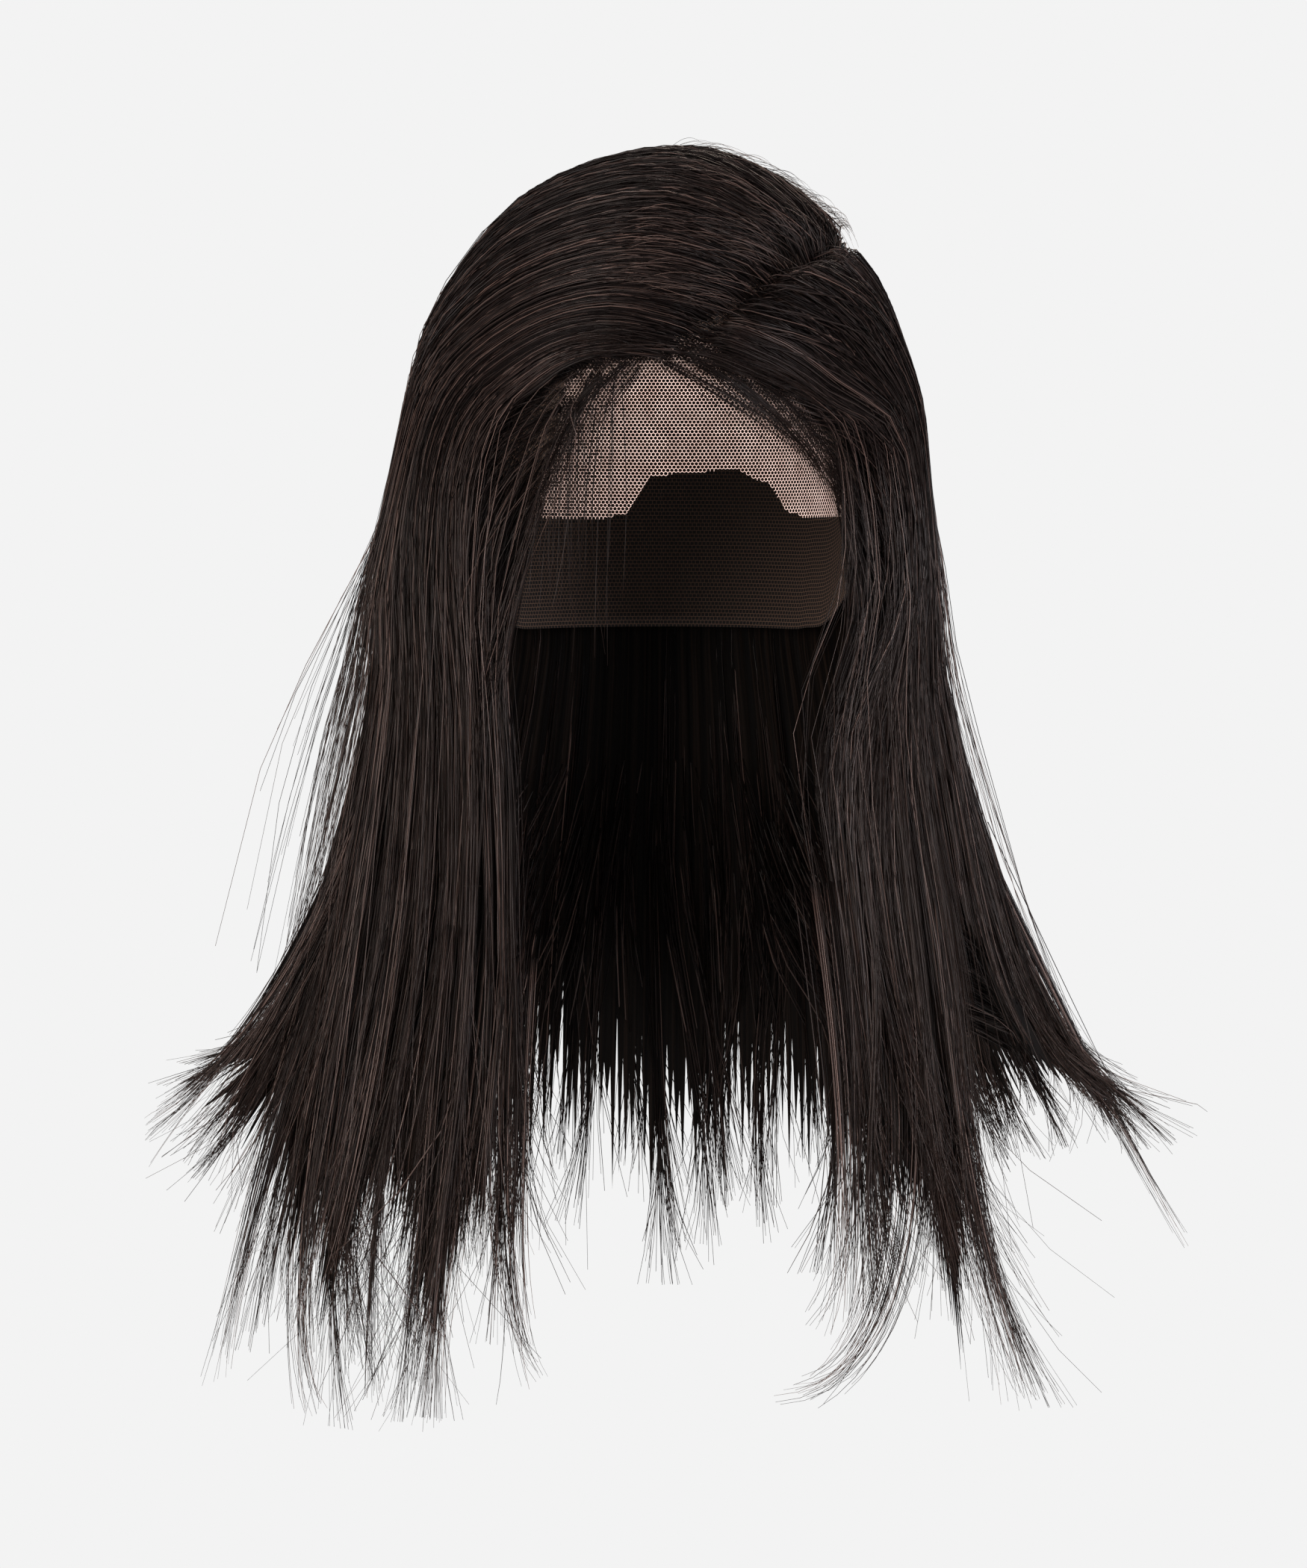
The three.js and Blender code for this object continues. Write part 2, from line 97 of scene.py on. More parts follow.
def linear(code: str) -> tuple[float, float, float, float]:
    """Turns an sRGB hex colour into linear RGBA.

    Args:
        code: six hex digits, such as "2a1f1b".

    Returns:
        Red, green and blue in linear light, and an alpha of one.
    """
    srgb = np.array([int(code[i : i + 2], 16) for i in (0, 2, 4)]) / 255
    light = np.where(srgb <= 0.04045, srgb / 12.92, ((srgb + 0.055) / 1.055) ** 2.4)
    return (*light.tolist(), 1.0)


def add_node(
    tree: NodeTree, kind: str, inputs: dict | None = None, stops: Stops = (), **settings: Any
) -> bpy.types.Node:
    """Adds one node, with its settings, its input values, its links and its colour stops.

    Args:
        tree: node tree that takes the node.
        kind: the node's type name.
        inputs: socket name or number to a value, to an output socket that feeds it, or to a node
            whose first output feeds it.
        stops: place from 0 to 1 and sRGB hex colour, in order, where the node has stops.
        settings: attributes of the node.

    Returns:
        The new node.
    """
    node = tree.nodes.new(kind)
    for name, value in settings.items():
        setattr(node, name, value)
    for socket, value in (inputs or {}).items():
        source = value.outputs[0] if isinstance(value, bpy.types.Node) else value
        if isinstance(source, bpy.types.NodeSocket):
            tree.links.new(source, node.inputs[socket])
        else:
            node.inputs[socket].default_value = source
    if stops:
        elements = node.color_ramp.elements
        while len(elements) < len(stops):
            elements.new(1.0)
        for element, (place, code) in zip(elements, stops):
            element.position = place
            element.color = linear(code)
    return node


def table(columns: str, rows: Rows) -> Array:
    """Makes rows of numbers into one array with named columns."""
    return np.array(list(rows), dtype=[(name, float) for name in columns.split()])


def unit(vectors: Array) -> Array:
    """Scales vectors in the last axis to length one."""
    return vectors / np.maximum(np.linalg.norm(vectors, axis=-1, keepdims=True), 1e-9)


def smoothstep(value: Array, low: float, high: float) -> Array:
    """Eases from 0 at low to 1 at high, flat at both ends."""
    share = np.clip((value - low) / (high - low), 0, 1)
    return share * share * (3 - 2 * share)


def bezier(t: Array, first: Array, turn: Array, last: Array) -> Array:
    """Places at t on quadratic Bezier curves: (1 - t)^2 first + 2 t (1 - t) turn + t^2 last."""
    return (1 - t) ** 2 * first + 2 * t * (1 - t) * turn + t * t * last


def wave(along: Array, pace: Array, phase: Array) -> Array:
    """Sine waves along strands, each with its own number of turns and its own start in a turn."""
    return np.sin(2 * np.pi * (pace[:, None] * along + phase[:, None]))


def eased_rows(rows: Rows, at: Array) -> Array:
    """Reads a table of places and values, easing by a cosine from one row to the next.

    Args:
        rows: place and value, in order of place.
        at: places to read.

    Returns:
        The value at each place.
    """
    knots = np.array(rows, float)
    row = np.clip(np.searchsorted(knots[:, 0], at), 1, len(knots) - 1)
    low, high = knots[row - 1], knots[row]
    share = np.clip((at - low[..., 0]) / (high[..., 0] - low[..., 0]), 0, 1)
    return low[..., 1] + (high[..., 1] - low[..., 1]) * (1 - np.cos(np.pi * share)) / 2


def new_piece(
    name: str,
    points: Array,
    faces: list[Array],
    uv: list[Array] | None,
    material: Material,
) -> Object:
    """Puts whole arrays into a smooth mesh object that rides on the part.

    Args:
        name: name of the piece.
        points: vertices, in millimetres.
        faces: arrays of vertex numbers, one array for each number of corners.
        uv: for each array of faces, the map's coordinates of its corners.
        material: finish of the piece.

    Returns:
        The linked object, at the origin.
    """
    mesh = bpy.data.meshes.new(name)
    mesh.vertices.add(len(points))
    mesh.vertices.foreach_set("co", (np.asarray(points) * MM).astype(np.float32).ravel())
    corners = np.concatenate([f.ravel() for f in faces]).astype(np.int32)
    sizes = np.concatenate([np.full(len(f), f.shape[1]) for f in faces])
    starts = np.concatenate([[0], np.cumsum(sizes)[:-1]]).astype(np.int32)
    mesh.loops.add(len(corners))
    mesh.loops.foreach_set("vertex_index", corners)
    mesh.polygons.add(len(starts))
    mesh.polygons.foreach_set("loop_start", starts)
    if uv is not None:
        layer = mesh.uv_layers.new(name=UV_MAP)
        flat = np.concatenate([np.asarray(u, np.float32).reshape(-1) for u in uv])
        layer.data.foreach_set("uv", flat)
    mesh.update(calc_edges=True)
    mesh.polygons.foreach_set("use_smooth", np.ones(len(starts), bool))
    mesh.materials.append(material)
    piece = bpy.data.objects.new(name, mesh)
    bpy.context.scene.collection.objects.link(piece)
    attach(piece, BODY)
    LOG.info("%s: %d faces", name, len(starts))
    return piece


@dataclass(frozen=True)
class Finish:
    """What every finish has: a material's name, its roughness, and nodes that feed its surface."""

    name: str
    roughness: float

    def surface(self, tree: NodeTree) -> dict[str, Any]:
        """Adds the finish's own nodes and gives what feeds the shader, by the socket's name."""
        raise NotImplementedError

    def material(self) -> Material:
        """Builds the material: the finish's own nodes, the shader that they feed, and the output.

        Returns:
            The material.
        """
        material = bpy.data.materials.new(self.name)
        material.use_nodes = True
        tree = material.node_tree
        tree.nodes.clear()
        inputs = {"Roughness": self.roughness, **self.surface(tree)}
        shader = add_node(tree, "ShaderNodeBsdfPrincipled", inputs)
        add_node(tree, "ShaderNodeOutputMaterial", {"Surface": shader})
        return material


@dataclass(frozen=True)
class HairFinish(Finish):
    """Human hair, dyed brown-black and straightened: a dark core with a low, slightly warm sheen.

    Each strand has one tone of its own, its place across the map, which drifts a little along the
    strand. A painted shade darkens each strand towards its root and dims its sheen there; tips are
    warmer, and light strands shine more than dark ones.
    """

    name: str = "straight_brown_black_hair"
    roughness: float = 0.36
    ior: float = 1.55
    tones: Stops = ((0.0, "080505"), (0.3, "110b0a"), (0.55, "251a17"), (0.78, "45332d"), (1.0, "695149"))
    # Painted shade: a dark colour mixed in at the root, fully there and gone a short reach along, and more
    # gently over the first half of each strand, with a share of the strand's own colour kept at the root.
    root: str = "0c0807"
    root_shade_reach: float = 0.07
    crown_shade_reach: float = 0.5
    crown_shade_share: float = 0.42
    tip: str = "35261f"
    tip_power: float = 3.0
    tip_share: float = 0.3
    bands_across: float = 60.0
    bands_along: float = 5.0
    drift: float = 0.3
    dull_tone: float = 0.2
    bright_tone: float = 0.9
    dull: float = 0.05
    bright: float = 0.37

    def surface(self, tree: NodeTree) -> dict[str, Any]:
        """Adds the nodes of single strands.

        The tone is the place across the map plus drift times a noise, less its middle. The tip's
        colour comes in with a power of the length, and a painted shade colour at the root goes out
        over two reaches; the same painted shade dims the sheen towards the root.

        Args:
            tree: node tree of the material.

        Returns:
            Colour, refraction and sheen for the shader.
        """
        place = add_node(tree, "ShaderNodeUVMap", uv_map=UV_MAP)
        across, along, _ = add_node(tree, "ShaderNodeSeparateXYZ", {0: place}).outputs
        size = (self.bands_across, self.bands_along, 1)
        bands = add_node(tree, "ShaderNodeMapping", {"Vector": place, "Scale": size})
        pattern = {"Vector": bands, "Scale": 1.0, "Detail": 2.0}
        noise = add_node(tree, "ShaderNodeTexNoise", pattern, noise_dimensions="2D")
        drift = add_node(tree, "ShaderNodeMath", {0: noise, 1: 0.5}, operation="SUBTRACT")
        inputs = {0: drift, 1: self.drift, 2: across}
        tone = add_node(tree, "ShaderNodeMath", inputs, operation="MULTIPLY_ADD")
        own = add_node(tree, "ShaderNodeValToRGB", {0: tone}, self.tones)
        far = add_node(tree, "ShaderNodeMath", {0: along, 1: self.tip_power}, operation="POWER")
        warm = add_node(tree, "ShaderNodeMath", {0: far, 1: self.tip_share}, operation="MULTIPLY")
        inputs = {"Factor": warm, 6: own, 7: linear(self.tip)}
        tipped = add_node(tree, "ShaderNodeMix", inputs, data_type="RGBA")
        # Painted shade towards the root: a quick ramp and a slow one, the darker of the two taken.
        root = add_node(tree, "ShaderNodeMapRange", {0: along, 1: 0.0, 2: self.root_shade_reach})
        inputs = {0: along, 1: 0.0, 2: self.crown_shade_reach, 3: self.crown_shade_share}
        crown = add_node(tree, "ShaderNodeMapRange", inputs)
        grown = add_node(tree, "ShaderNodeMath", {0: root, 1: crown}, operation="MINIMUM")
        inputs = {"Factor": grown, 6: linear(self.root), 7: tipped.outputs[2]}
        colour = add_node(tree, "ShaderNodeMix", inputs, data_type="RGBA")
        inputs = {0: tone, 1: self.dull_tone, 2: self.bright_tone, 3: self.dull, 4: self.bright}
        shine = add_node(tree, "ShaderNodeMapRange", inputs)
        # The same painted shade lowers the sheen towards the root.
        sheen = add_node(tree, "ShaderNodeMath", {0: shine, 1: crown}, operation="MULTIPLY")
        return {"Base Color": colour.outputs[2], "IOR": self.ior, "Specular IOR Level": sheen}


@dataclass(frozen=True)
class MassFinish(Finish):
    """The body of hair beneath the loose strands: the same hair, packed, so its combed lines show as
    streaks about a millimetre across that run the whole length."""

    name: str = "combed_hair_body"
    roughness: float = 0.55
    ior: float = 1.55
    specular: float = 0.04
    tones: Stops = ((0.32, "070505"), (0.5, "0e0a08"), (0.7, "1d1511"))
    streaks: float = 170.0
    wander: float = 3.0
    ridge: float = 0.6
    ridge_height: float = 0.6

    def surface(self, tree: NodeTree) -> dict[str, Any]:
        """Adds the streaks, a noise drawn out along the hair, which are also ridges.

        Args:
            tree: node tree of the material.

        Returns:
            Colour, refraction, sheen and relief for the shader.
        """
        place = add_node(tree, "ShaderNodeUVMap", uv_map=UV_MAP)
        size = (self.streaks, self.wander, 1)
        stretched = add_node(tree, "ShaderNodeMapping", {"Vector": place, "Scale": size})
        pattern = {"Vector": stretched, "Scale": 1.0, "Detail": 3.0}
        noise = add_node(tree, "ShaderNodeTexNoise", pattern, noise_dimensions="2D")
        tones = add_node(tree, "ShaderNodeValToRGB", {0: noise}, self.tones)
        relief = {"Height": noise, "Strength": self.ridge, "Distance": self.ridge_height * MM}
        ridges = add_node(tree, "ShaderNodeBump", relief)
        return {"Base Color": tones, "IOR": self.ior, "Specular IOR Level": self.specular, "Normal": ridges}


@dataclass(frozen=True)
class LaceFinish(Finish):
    """Brown polyester tulle over the hair knotted into it: net lines with the dark hair between them.

    The real mesh is about 0.9 mm across; it is drawn at 1.4 mm so that it shows. The map's girth
    and meridian are the cap's own, in millimetres.
    """

    name: str = "brown_tulle_over_hair"
    roughness: float = 0.85
    # Painted shade: the thread under the hair is drawn much darker than the bare net's thread, partly for the
    # hair knotted over it and partly as the hair's shade.
    thread: str = "6b5142"
    between: str = "100b0a"
    pitch: float = 1.4
    row_height: float = 0.866
    thread_share: float = 0.17
    soft_edge: float = 0.2
    girth: float = 540.0
    meridian: float = 190.0
    relief: float = 0.5
    relief_height: float = 0.3

    def surface(self, tree: NodeTree) -> dict[str, Any]:
        """Adds the net: staggered cells as wide as the pitch, with thread for the joints.

        Args:
            tree: node tree of the material.

        Returns:
            Colour and relief for the shader.
        """
        place = add_node(tree, "ShaderNodeUVMap", uv_map=UV_MAP)
        size = (self.girth / self.pitch, self.meridian / self.pitch, 1)
        cells = add_node(tree, "ShaderNodeMapping", {"Vector": place, "Scale": size})
        pattern = {
            "Vector": cells,
            "Color1": linear(self.between),
            "Color2": linear(self.between),
            "Mortar": linear(self.thread),
            "Scale": 1.0,
            "Mortar Size": self.thread_share / 2,
            "Mortar Smooth": self.soft_edge,
            "Brick Width": 1.0,
            "Row Height": self.row_height,
        }
        net = add_node(tree, "ShaderNodeTexBrick", pattern)
        relief = {"Height": net.outputs["Fac"], "Strength": self.relief, "Distance": self.relief_height * MM}
        raised = add_node(tree, "ShaderNodeBump", relief)
        return {"Base Color": net.outputs["Color"], "Normal": raised}


@dataclass(frozen=True)
class ThreadFinish(Finish):
    """Bare brown net thread: fine matt polyester filament, a little uneven in its dye."""

    name: str = "brown_net_thread"
    roughness: float = 0.7
    tones: Stops = ((0.35, "d4b4a8"), (0.65, "f0d2c6"))
    patch: float = 6.0

    def surface(self, tree: NodeTree) -> dict[str, Any]:
        """Adds soft patches of tone, a noise a few millimetres across.

        Args:
            tree: node tree of the material.

        Returns:
            Colour for the shader.
        """
        place = add_node(tree, "ShaderNodeTexCoord").outputs["Object"]
        pattern = {"Vector": place, "Scale": 1 / (self.patch * MM), "Detail": 2.0}
        noise = add_node(tree, "ShaderNodeTexNoise", pattern)
        return {"Base Color": add_node(tree, "ShaderNodeValToRGB", {0: noise}, self.tones)}


@dataclass(frozen=True)
class PaperFinish(Finish):
    """Matt studio paper, plain and pale."""

    name: str = "pale_paper"
    roughness: float = 0.9
    colour: str = "bdbdbd"

    def surface(self, tree: NodeTree) -> dict[str, Any]:
        """Gives the one colour; the paper has no pattern and so no nodes of its own."""
        return {"Base Color": linear(self.colour)}


@dataclass(frozen=True)
class HeadForm:
    """The head form inside the cap: a superellipsoid dome over a slowly narrowing lower end."""

    half_width: float = 74
    front: float = 92
    back: float = 96
    height: float = 95
    power: float = 2.1
    side_narrowing: float = 0.1
    back_narrowing: float = 0.24
    lowest: float = 190

    @property
    def middle(self) -> Array:
        """The middle of the head, at the foot of the dome."""
        return np.array([0, 0, -self.height])

    def point(self, azimuth: Array, drop: Array, offset: Array | float = 0.0) -> Array:
        """Points of the form, grown by an offset.

        A level section is a superellipse; the dome shrinks it by (1 - (1 - drop/height)^p)^(1/p).

        Args:
            azimuth: degrees round the head, 0 in front and 90 on the wearer's left.
            drop: distance below the form's top.
            offset: height over the form.

        Returns:
            Points, one for each place.
        """
        azimuth, drop, offset = np.broadcast_arrays(np.radians(azimuth), drop, offset)
        above = np.minimum(1, np.maximum(0, self.height - drop) / (self.height + offset))
        dome = (1 - above**self.power) ** (1 / self.power)
        below = (np.maximum(0, drop - self.height) / self.height) ** 2
        across, along = np.sin(azimuth), -np.cos(azimuth)
        width = (self.half_width * (1 - self.side_narrowing * below) + offset) * dome + TINY
        front = (self.front + offset) * dome
        back = (self.back * (1 - self.back_narrowing * below) + offset) * dome
        depth = np.where(along < 0, front, back) + TINY
        sum_of_powers = (np.abs(across) / width) ** self.power + (np.abs(along) / depth) ** self.power
        reach = sum_of_powers ** (-1 / self.power)
        return np.stack([across * reach, along * reach, -drop], -1)

    def dome(self, direction: Array, offset: Array | float) -> Array:
        """Points where directions from the middle of the head meet the grown dome, a superellipsoid.

        Args:
            direction: unit vectors.
            offset: height over the form.

        Returns:
            Points, one for each direction.
        """
        offset = np.asarray(offset)
        depth = np.where(direction[..., 1] < 0, self.front, self.back) + offset
        sum_of_powers = (
            (np.abs(direction[..., 0]) / (self.half_width + offset)) ** self.power
            + (np.abs(direction[..., 1]) / depth) ** self.power
            + (np.abs(direction[..., 2]) / (self.height + offset)) ** self.power
        )
        return self.middle + direction * (sum_of_powers ** (-1 / self.power))[..., None]

    def under(self, points: Array, offset: Array | float) -> Array:
        """The point of the grown form beneath each point, towards the head's middle or its axis.

        Args:
            points: points to bring down.
            offset: height over the form.

        Returns:
            Points on the grown form.
        """
        domed = self.dome(unit(points - self.middle), offset)
        azimuth = np.degrees(np.arctan2(points[..., 0], -points[..., 1]))
        level = self.point(azimuth, np.clip(-points[..., 2], self.height, self.lowest), offset)
        level[..., 2] = points[..., 2]
        return np.where((points[..., 2] > -self.height)[..., None], domed, level)

    def core(self, points: Array) -> Array:
        """The point that each point is measured from: the head's middle, or the axis below that."""
        level = np.where(points[..., 2] > -self.height, -self.height, points[..., 2])
        return np.stack([np.zeros_like(level), np.zeros_like(level), level], -1)

    def keep_off(self, points: Array, offset: float) -> Array:
        """Moves points that lie inside the grown form out to its surface, above its lowest level.

        Args:
            points: points to keep off.
            offset: height over the form.

        Returns:
            The points, moved where they lay inside.
        """
        surface, core = self.under(points, offset), self.core(points)
        inside = np.linalg.norm(points - core, axis=-1) < np.linalg.norm(surface - core, axis=-1)
        inside &= points[..., 2] > -self.lowest
        return np.where(inside[..., None], surface, points)

    def as_high(self, points: Array, model: Array) -> Array:
        """Moves points in or out until each is as far from the form's surface as its model."""
        height = np.linalg.norm(model - self.under(model, 0.0), axis=-1, keepdims=True)
        return self.under(points, 0.0) + unit(points - self.core(points)) * height


# The guides over the crown: root and ear on the head, the rise of the curve between them, and the
# height of the hair over the head at four places.
CROWN_GUIDES = table("root_azimuth root_drop rise ear_azimuth root spring loft ear", (
    (-18, 71, 0, -17, 5.5, 5.5, 6, 7),
    (-4, 62, 0.22, -44, 6, 7, 9, 13),
    (7, 54, 0.32, -62, 7, 10, 11, 18),
    (18, 42.5, 0.25, -77, 8.5, 11, 11.5, 19),
    (34, 34, 0.15, -92, 10.5, 11.5, 10.5, 19.5),
    (58, 28.5, 0.08, -110, 13.5, 12, 10, 18),
    (82, 28, 0.02, -132, 15, 12.5, 9.5, 17),
    (97, 29.5, 0, -160, 15, 13.5, 11, 16),
    (104, 32, 0, -190, 14.5, 14.5, 13, 16),
    (106, 35, 0, -219, 13, 14.5, 14, 16),
    (100, 36, 0, -245, 12, 14, 14, 18),
    (84, 34.5, 0, -263, 11.5, 13.5, 14.5, 19),
    (62, 35, 0, -278, 10.5, 13, 14, 19),
    (35, 38.5, 0.02, -294, 8, 11, 12, 16.5),
    (12, 57.5, 0.03, -306, 6, 7.5, 9, 11),
    (23, 70, 0.03, -316, 5.5, 5.5, 5.5, 6),
))
# The same guides below the ear: places at four levels, and how far down the tip is.
FALL_LEVELS = ("cheek", "jaw", "rest", "tip")
FALL_GUIDES = table("cheek_x cheek_y jaw_x jaw_y rest_x rest_y tip_x tip_y tip_drop", (
    (-53, -78, -49, -82, -46, -92, -53, -104, 408),
    (-68, -72, -67, -75, -70, -88, -84, -106, 424),
    (-86, -54, -86, -58, -97, -74, -113, -98, 420),
    (-98, -30, -99, -34, -117, -52, -136, -84, 422),
    (-102, -2, -105, -6, -135, -16, -176, -26, 323),
    (-96, 32, -101, 28, -119, 32, -142, 36, 350),
    (-76, 72, -80, 66, -94, 76, -100, 90, 398),
    (-36, 106, -37, 98, -42, 98, -44, 104, 408),
    (14, 110, 14, 102, 14, 102, 14, 108, 412),
    (62, 86, 65, 80, 72, 88, 74, 97, 404),
    (92, 42, 95, 40, 113, 44, 134, 50, 360),
    (99, 8, 103, 4, 138, -2, 179, -12, 348),
    (96, -20, 101, -24, 125, -42, 150, -62, 334),
    (88, -44, 87, -52, 104, -72, 114, -92, 420),
    (77, -60, 68, -71, 83, -87, 93, -102, 412),
    (64, -65, 44, -80, 60, -93, 71, -104, 398),
))
# Where the roots lie that belong to each guide number: along the part, and at its ends the hairline.
PART_LINE = table("guide azimuth drop", (
    (0, -18, 72), (0.5, -9, 66), (1, 2, 62.5), (2, 9.5, 55.5), (3, 21, 45), (4, 35, 36.5),
    (5, 58.5, 31.8), (6, 82.5, 31.3), (7, 97, 32.3), (8, 102, 34), (9, 102.5, 35.5), (10, 99, 34),
    (11, 84, 31.3), (12, 61, 32), (13, 33, 37.5), (14, 11, 56.5), (15, 21, 70),
))
# The guides whose hair is rooted in the part, and the guide, on the left, of the part's front end.
PART_GUIDES = (0.8, 14.4)
PART_FRONT = 14.0
# Azimuth along the hairline, the guide that hair from there joins, and the share along it where it does.
HAIRLINE_JOINS = {
    Side.RIGHT: table("azimuth guide share", (
        (-43, 0.1, 0.59), (-33, 0.2, 0.56), (-26.5, 0.3, 0.52), (-23.5, 0.45, 0.42), (-22, 0.6, 0.3),
        (-20.5, 0.7, 0.2), (-17, 0.85, 0.08), (-11, 1.0, 0.02), (-3, 1.2, 0), (5, 1.7, 0),
    )),
    Side.LEFT: table("azimuth guide share", (
        (3, 13.9, 0), (7, 14.2, 0), (13, 14.5, 0), (21, 14.8, 0.02), (29, 14.9, 0.2),
        (37, 14.95, 0.4), (43, 15, 0.5), (48, 15, 0.55), (58, 15, 0.585), (68, 15, 0.61),
    )),
}


@dataclass
class HairFlow:
    """The way the hair lies: a smooth sheet through sixteen guides, each from a root to a tip.

    A place on the sheet is (across, along): the guide number from 0 to 15, and the share of the
    guide's length from 0 to 1. Depth 0 is the outer face of the hair and 1 the inner face.
    """

    head: HeadForm = field(default_factory=HeadForm)
    cheek_drop: float = 145
    jaw_drop: float = 190
    rest_drop: float = 290
    clearance: float = 2.0
    scalp: float = 1.2
    thickness_at: tuple[float, ...] = (18, 17, 15, 12, 4)
    edge_share: float = 0.45
    edge_reach: float = 0.5
    side_step: float = 0.05
    bend_step: float = 0.075
    bend_starts: Span = (0.18, 0.4)
    bend_ends: Span = (0.6, 0.8)
    ear_station: int = 4
    ear_ease: Span = (0.85, 1.15)
    grid: Array = field(init=False)

    def __post_init__(self) -> None:
        """Works out the stations of every guide, with a mirrored row round the edge of the grid."""
        stations = self.stations()
        for axis in (0, 1):
            first = np.take(stations, [0], axis) * 2 - np.take(stations, [1], axis)
            last = np.take(stations, [-1], axis) * 2 - np.take(stations, [-2], axis)
            stations = np.concatenate([first, stations, last], axis)
        self.grid = stations

    @property
    def segments(self) -> int:
        """Number of steps from one station to the next along a guide."""
        return self.grid.shape[1] - 3

    @property
    def last_guide(self) -> int:
        """Number of the last guide."""
        return self.grid.shape[0] - 3

    def stations(self) -> Array:
        """Stations of the guides: five over the crown, then cheek, jaw, rest and tip.

        Over the crown a direction from the middle of the head runs along a quadratic Bezier curve
        from the root to the ear, and meets the dome grown by the height of the hair there.

        Returns:
            Points, guides by stations by three.
        """
        crown, fall = CROWN_GUIDES, FALL_GUIDES
        foot = np.full(len(crown), self.head.height)
        root = unit(self.head.point(crown["root_azimuth"], crown["root_drop"]) - self.head.middle)
        ear = unit(self.head.point(crown["ear_azimuth"], foot) - self.head.middle)
        turn = unit(root + ear)
        turn[:, 2] += crown["rise"]
        halfway = (crown["loft"] + crown["ear"]) / 2
        heights = np.stack([crown["root"], crown["spring"], crown["loft"], halfway, crown["ear"]], 1)
        t = np.linspace(0, 1, self.ear_station + 1)[None, :, None]
        over = self.head.dome(unit(bezier(t, root[:, None], turn[:, None], ear[:, None])), heights)
        drops = np.broadcast_arrays(self.cheek_drop, self.jaw_drop, self.rest_drop, fall["tip_drop"])
        x, y = (np.stack([fall[f"{level}_{axis}"] for level in FALL_LEVELS], 1) for axis in "xy")
        return np.concatenate([over, np.stack([x, y, -np.stack(drops, 1)], -1)], 1)

    @staticmethod
    def weights(place: Array, last: int) -> tuple[Array, Array]:
        """First grid row and the four Catmull-Rom weights at a place along one direction.

        Args:
            place: places, counted in stations.
            last: number of the last station.

        Returns:
            Row numbers, and four weights for each place.
        """
        row = np.clip(np.floor(place).astype(int), 0, last - 1)
        w = (place - row)[..., None]
        four = [
            -0.5 * w**3 + w**2 - 0.5 * w,
            1.5 * w**3 - 2.5 * w**2 + 1,
            -1.5 * w**3 + 2 * w**2 + 0.5 * w,
            0.5 * w**3 - 0.5 * w**2,
        ]
        return row, np.concatenate(four, -1)

    def outer(self, across: Array, along: Array) -> Array:
        """Points of the sheet: a bicubic Catmull-Rom patch over the grid of stations.

        Args:
            across: guide numbers.
            along: shares of the guides.

        Returns:
            Points of the outer face.
        """
        row, row_weights = self.weights(np.clip(across, 0, self.last_guide), self.last_guide)
        column, column_weights = self.weights(along * self.segments, self.segments)
        steps = np.arange(4)
        patch = self.grid[row[..., None, None] + steps[:, None], column[..., None, None] + steps]
        return np.einsum("...ijk,...i,...j->...k", patch, row_weights, column_weights)

    def inward(self, across: Array, along: Array) -> Array:
        """Directions into the hair: to the head's middle over the crown, and below the ear level and
        square to the curve across the guides.

        Args:
            across: guide numbers.
            along: shares of the guides.

        Returns:
            Unit vectors.
        """
        points = self.outer(across, along)
        to_middle = unit(self.head.middle - points)
        after = self.outer(np.minimum(across + self.side_step, self.last_guide), along)
        tangent = after - self.outer(np.maximum(across - self.side_step, 0), along)
        level = unit(np.stack([tangent[..., 1], -tangent[..., 0], np.zeros_like(tangent[..., 0])], -1))
        wrong = (level * points).sum(-1) > 0
        level = np.where(wrong[..., None], -level, level)
        ear = self.ear_station / self.segments
        below = smoothstep(along, ear * self.ear_ease[0], ear * self.ear_ease[1])[..., None]
        return unit(to_middle * (1 - below) + level * below)

    def thickness(self, along: Array) -> Array:
        """Thickness of the hanging hair, in straight steps from the ear's value to the tip's."""
        stations = self.ear_station + np.arange(len(self.thickness_at))
        return np.interp(along * self.segments, stations, self.thickness_at)

    def edge(self, across: Array) -> Array:
        """Share of the thickness left near the two free edges beside the face opening."""
        away = np.minimum(across, self.last_guide - across) / self.edge_reach
        return self.edge_share + (1 - self.edge_share) * np.clip(away, 0, 1)

    def plain_layer(self, across: Array, along: Array, depth: Array | float) -> Array:
        """Points at a depth in the hair: a share of the way from the outer face to the inner one.

        Args:
            across: guide numbers.
            along: shares of the guides.
            depth: 0 on the outer face, 1 on the inner face.

        Returns:
            Points, kept off the head.
        """
        face = self.outer(across, along)
        into = self.inward(across, along) * (self.thickness(along) * self.edge(across))[..., None]
        back = self.head.keep_off(face + into, self.clearance)
        return face + (back - face) * np.asarray(depth)[..., None]

